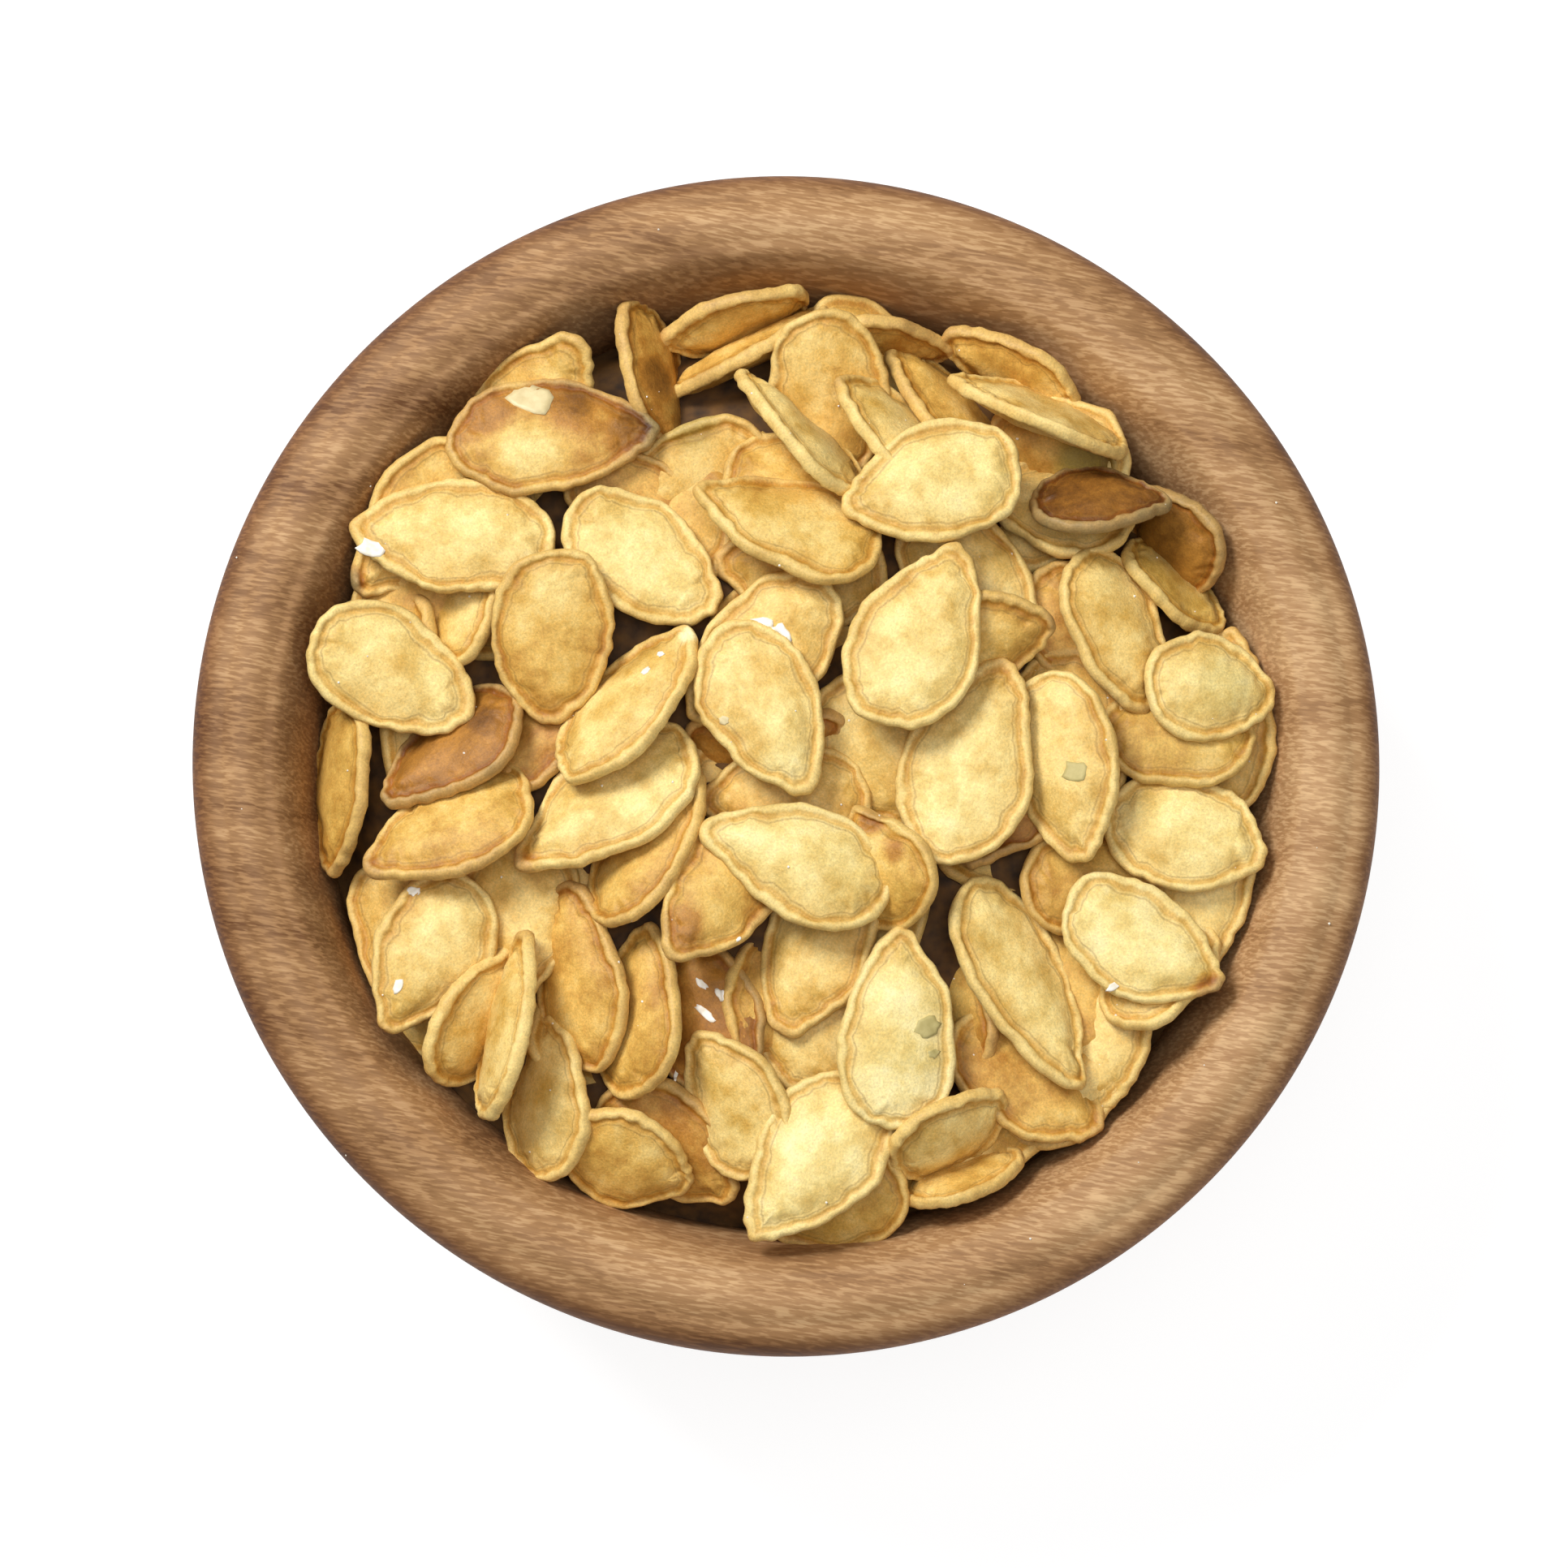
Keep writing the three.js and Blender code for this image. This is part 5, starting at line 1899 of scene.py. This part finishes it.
@dataclass
class SaltAndFlakes:
    """The salt on the bowl and the seeds, and the few flakes that lie on them."""

    sight: Sight
    hosts: list[bpy.types.Object]
    # Dried brine: small white crystals, a little glossy.
    salt: PlainFinish = PlainFinish("salt_crystals", "#ece3cc", "#fffaf0", 0.6, 0.35)
    # The seed's thin inner skin, peeled off and dried: pale, papery and satin.
    skin: PlainFinish = PlainFinish("papery_inner_skin", "#cfbb88", "#e4d3a2", 1.2, 0.5)
    # The hull's inner layer, laid bare where the shell has chipped: dull grey-green.
    bare: PlainFinish = PlainFinish("bare_inner_hull", "#b8a868", "#ccbc7e", 0.8, 0.6)
    around: int = 14
    ring_shares: tuple[float, ...] = (1.0, 0.7, 0.35)
    ragged_edge: tuple[float, float] = (0.72, 1.15)
    salt_thickness: float = 0.1
    skin_thickness: float = 0.05
    sunk: float = 0.08
    most_sag: float = 0.45
    smallest_grain: float = 0.06
    largest_grain: float = 0.2
    grain_corner: float = 0.22
    least_upward: float = 0.45

    def lay_flake(
        self, flake: Flake, trees: list[BVHTree], rng: np.random.Generator, bm: bmesh.types.BMesh
    ) -> None:
        """Lays a flake on the surface under it.

        Args:
            flake: The flake.
            trees: The surfaces it may lie on.
            rng: Where its ragged edge comes from.
            bm: The mesh that it is added to.
        """
        eye = Vector(self.sight.eye * MM)
        scale = self.sight.pixels_per_mm

        def seen_at(x: float, y: float) -> tuple[Vector, tuple[Vector, Vector] | None]:
            """Looks at a place of the flake.

            Args:
                x: Millimetres to the right of its middle.
                y: Millimetres above it.

            Returns:
                The ray, and the point and normal that it meets first.
            """
            pixel = (flake.pixel[0] + x * scale, flake.pixel[1] - y * scale)
            ray = Vector(self.sight.ray(pixel)).normalized()
            hits = [tree.ray_cast(eye, ray) for tree in trees]
            found = [(hit[3], hit[0], hit[1]) for hit in hits if hit[0] is not None]
            return ray, min(found, key=lambda each: each[0])[1:] if found else None

        _, under = seen_at(0, 0)
        if under is None:
            return
        middle, normal = under

        def surface_at(x: float, y: float) -> Vector:
            """Finds the point under a place of the flake, which bends only a little to follow it.

            Args:
                x: Millimetres to the right of its middle.
                y: Millimetres above it.

            Returns:
                The point.
            """
            ray, met = seen_at(x, y)
            flat = eye + ray * ((middle - eye).dot(normal) / ray.dot(normal))
            rise = (met[0] - flat).dot(normal) if met else 0.0
            most = self.most_sag * MM
            return flat + normal * min(max(rise, -most), most)

        around = self.around
        thickness = self.salt_thickness if flake.kind is FlakeKind.SALT else self.skin_thickness
        turn = math.radians(flake.turn)
        ragged = rng.uniform(*self.ragged_edge, size=around)
        rings = []
        for share in self.ring_shares:
            ring = []
            for k in range(around):
                angle = math.tau * k / around
                x = share * ragged[k] * flake.length / 2 * math.cos(angle)
                y = share * ragged[k] * flake.width / 2 * math.sin(angle)
                point = surface_at(
                    x * math.cos(turn) - y * math.sin(turn), x * math.sin(turn) + y * math.cos(turn)
                )
                ring.append(bm.verts.new(point + normal * thickness * MM))
            rings.append(ring)
        lower = [bm.verts.new(vert.co - normal * (thickness + self.sunk) * MM) for vert in rings[0]]
        top = bm.verts.new(middle + normal * thickness * MM)
        bottom = bm.verts.new(middle - normal * self.sunk * MM)
        for k in range(around):
            j = (k + 1) % around
            bm.faces.new((top, rings[-1][k], rings[-1][j]))
            bm.faces.new((bottom, lower[j], lower[k]))
            for outer, inner in zip((lower, *rings), rings):
                bm.faces.new((inner[k], outer[k], outer[j], inner[j]))

    def build_flakes(self, kind: FlakeKind) -> bpy.types.Object:
        """Builds the flakes of one kind.

        Args:
            kind: Which kind.

        Returns:
            The piece.
        """
        depsgraph = bpy.context.evaluated_depsgraph_get()
        trees = [BVHTree.FromObject(host, depsgraph) for host in self.hosts]
        rng = np.random.default_rng(11)
        bm = bmesh.new()
        for flake in FLAKES:
            if flake.kind is kind:
                self.lay_flake(flake, trees, rng, bm)
        mesh = bpy.data.meshes.new(kind.value)
        bm.to_mesh(mesh)
        bm.free()
        finishes = {FlakeKind.SALT: self.salt, FlakeKind.SKIN: self.skin, FlakeKind.BARE: self.bare}
        mesh.materials.append(finishes[kind].build())
        piece = new_piece(kind.value, mesh)
        join_to_object(piece, "seed_heap")
        return piece

    def build_grains(
        self, host: bpy.types.Object, per_square_metre: float, lowest: float, draw: int
    ) -> bpy.types.Object:
        """Scatters salt grains over a piece.

        Args:
            host: The piece that they lie on.
            per_square_metre: How thickly.
            lowest: The lowest height, in millimetres, at which they lie.
            draw: The fixed number of the random draw.

        Returns:
            The piece of grains.
        """
        bm = bmesh.new()
        bmesh.ops.create_cube(bm, size=1.0)
        bmesh.ops.bevel(bm, geom=list(bm.verts), offset=self.grain_corner, affect="VERTICES")
        mesh = bpy.data.meshes.new("grain_shape")
        bm.to_mesh(mesh)
        bm.free()
        shape = new_piece("grain_shape", mesh)
        values = {
            "Grain shape": shape,
            "Finish": self.salt.build(),
            "Grains per square metre": per_square_metre,
            "Smallest grain": self.smallest_grain * MM,
            "Largest grain": self.largest_grain * MM,
            "Lowest height": lowest * MM,
            "Least look up": self.least_upward,
            "Draw": draw,
        }
        on_bowl = host.name == "bowl_turned"
        name = "salt_on_bowl" if on_bowl else f"salt_on_{host.name}"
        piece = run_tree(name, host.data.copy(), salt_tree(), values)
        bpy.data.objects.remove(shape)
        slot, solid = ("bowl_wood", "bowl") if on_bowl else ("seed_shell", "seed_heap")
        join_to_object(piece, solid)
        return piece


@dataclass(frozen=True)
class SoftLight:
    """A square soft light, with its place and size in metres and its power in watts."""

    name: str
    place: tuple[float, float, float]
    size: float
    power: float


@dataclass
class Studio:
    """The pale floor and the soft light from above."""

    floor_size: float = 3.0
    floor_colour: str = "#949494"
    floor_glow: float = 0.84
    air_colour: str = "#f4f6fa"
    air_light: float = 0.11
    aim_height: float = 0.04
    lights: tuple[SoftLight, ...] = (
        SoftLight("key_upper_left", (-0.3, 0.3, 0.5), 0.22, 3.8),
        SoftLight("overhead", (0.0, 0.0, 0.75), 0.36, 1.9),
        SoftLight("fill_lower_right", (0.42, -0.36, 0.44), 0.4, 0.7),
    )

    def build(self) -> None:
        """Lays the floor and hangs the lights."""
        bm = bmesh.new()
        bmesh.ops.create_grid(bm, x_segments=1, y_segments=1, size=self.floor_size / 2)
        mesh = bpy.data.meshes.new("floor")
        bm.to_mesh(mesh)
        bm.free()

        # White paper, lit from behind as well, so that it stays white under the bowl's soft shadow.
        material, _, shader = new_material("white_sweep")
        shader.inputs["Base Color"].default_value = linear(self.floor_colour)
        shader.inputs["Roughness"].default_value = 0.9
        shader.inputs["Specular IOR Level"].default_value = 0.0
        shader.inputs["Emission Color"].default_value = linear("#ffffff")
        shader.inputs["Emission Strength"].default_value = self.floor_glow
        mesh.materials.append(material)
        floor = new_piece("floor", mesh)

        world = bpy.data.worlds.new("studio")
        world.use_nodes = True
        background = world.node_tree.nodes["Background"]
        background.inputs["Color"].default_value = linear(self.air_colour)
        background.inputs["Strength"].default_value = self.air_light
        bpy.context.scene.world = world

        for light in self.lights:
            self.hang(light)
        bpy.context.scene.view_settings.view_transform = "Standard"
        bpy.context.scene.view_settings.look = "None"

    def hang(self, light: SoftLight) -> None:
        """Hangs a light so that it faces the bowl.

        Args:
            light: The light.
        """
        data = bpy.data.lights.new(light.name, "AREA")
        data.shape = "SQUARE"
        data.size = light.size
        data.energy = light.power
        lamp = bpy.data.objects.new(light.name, data)
        lamp.location = light.place
        aim = Vector((0.0, 0.0, self.aim_height)) - Vector(light.place)
        lamp.rotation_euler = aim.to_track_quat("-Z", "Y").to_euler()
        bpy.context.scene.collection.objects.link(lamp)


def main() -> None:
    """Builds the bowl and its seeds, the studio and the camera."""
    logging.basicConfig(level=logging.INFO, format="%(name)s: %(message)s")
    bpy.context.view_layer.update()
    sight = Sight()
    sight.add_camera()
    bowl = WoodenBowl()
    wood = bowl.build()
    heap = SeedHeap(sight, bowl.form)
    seeds = heap.build_shown()
    heap.build_underneath()
    heap.build_core()
    extras = SaltAndFlakes(sight, [wood, *seeds])
    for kind in FlakeKind:
        extras.build_flakes(kind)
    extras.build_grains(wood, per_square_metre=4500.0, lowest=30.0, draw=5)
    for number, piece in enumerate(seeds):
        extras.build_grains(piece, per_square_metre=9000.0, lowest=40.0, draw=20 + number)
    Studio().build()


if __name__ == "__main__":
    main()
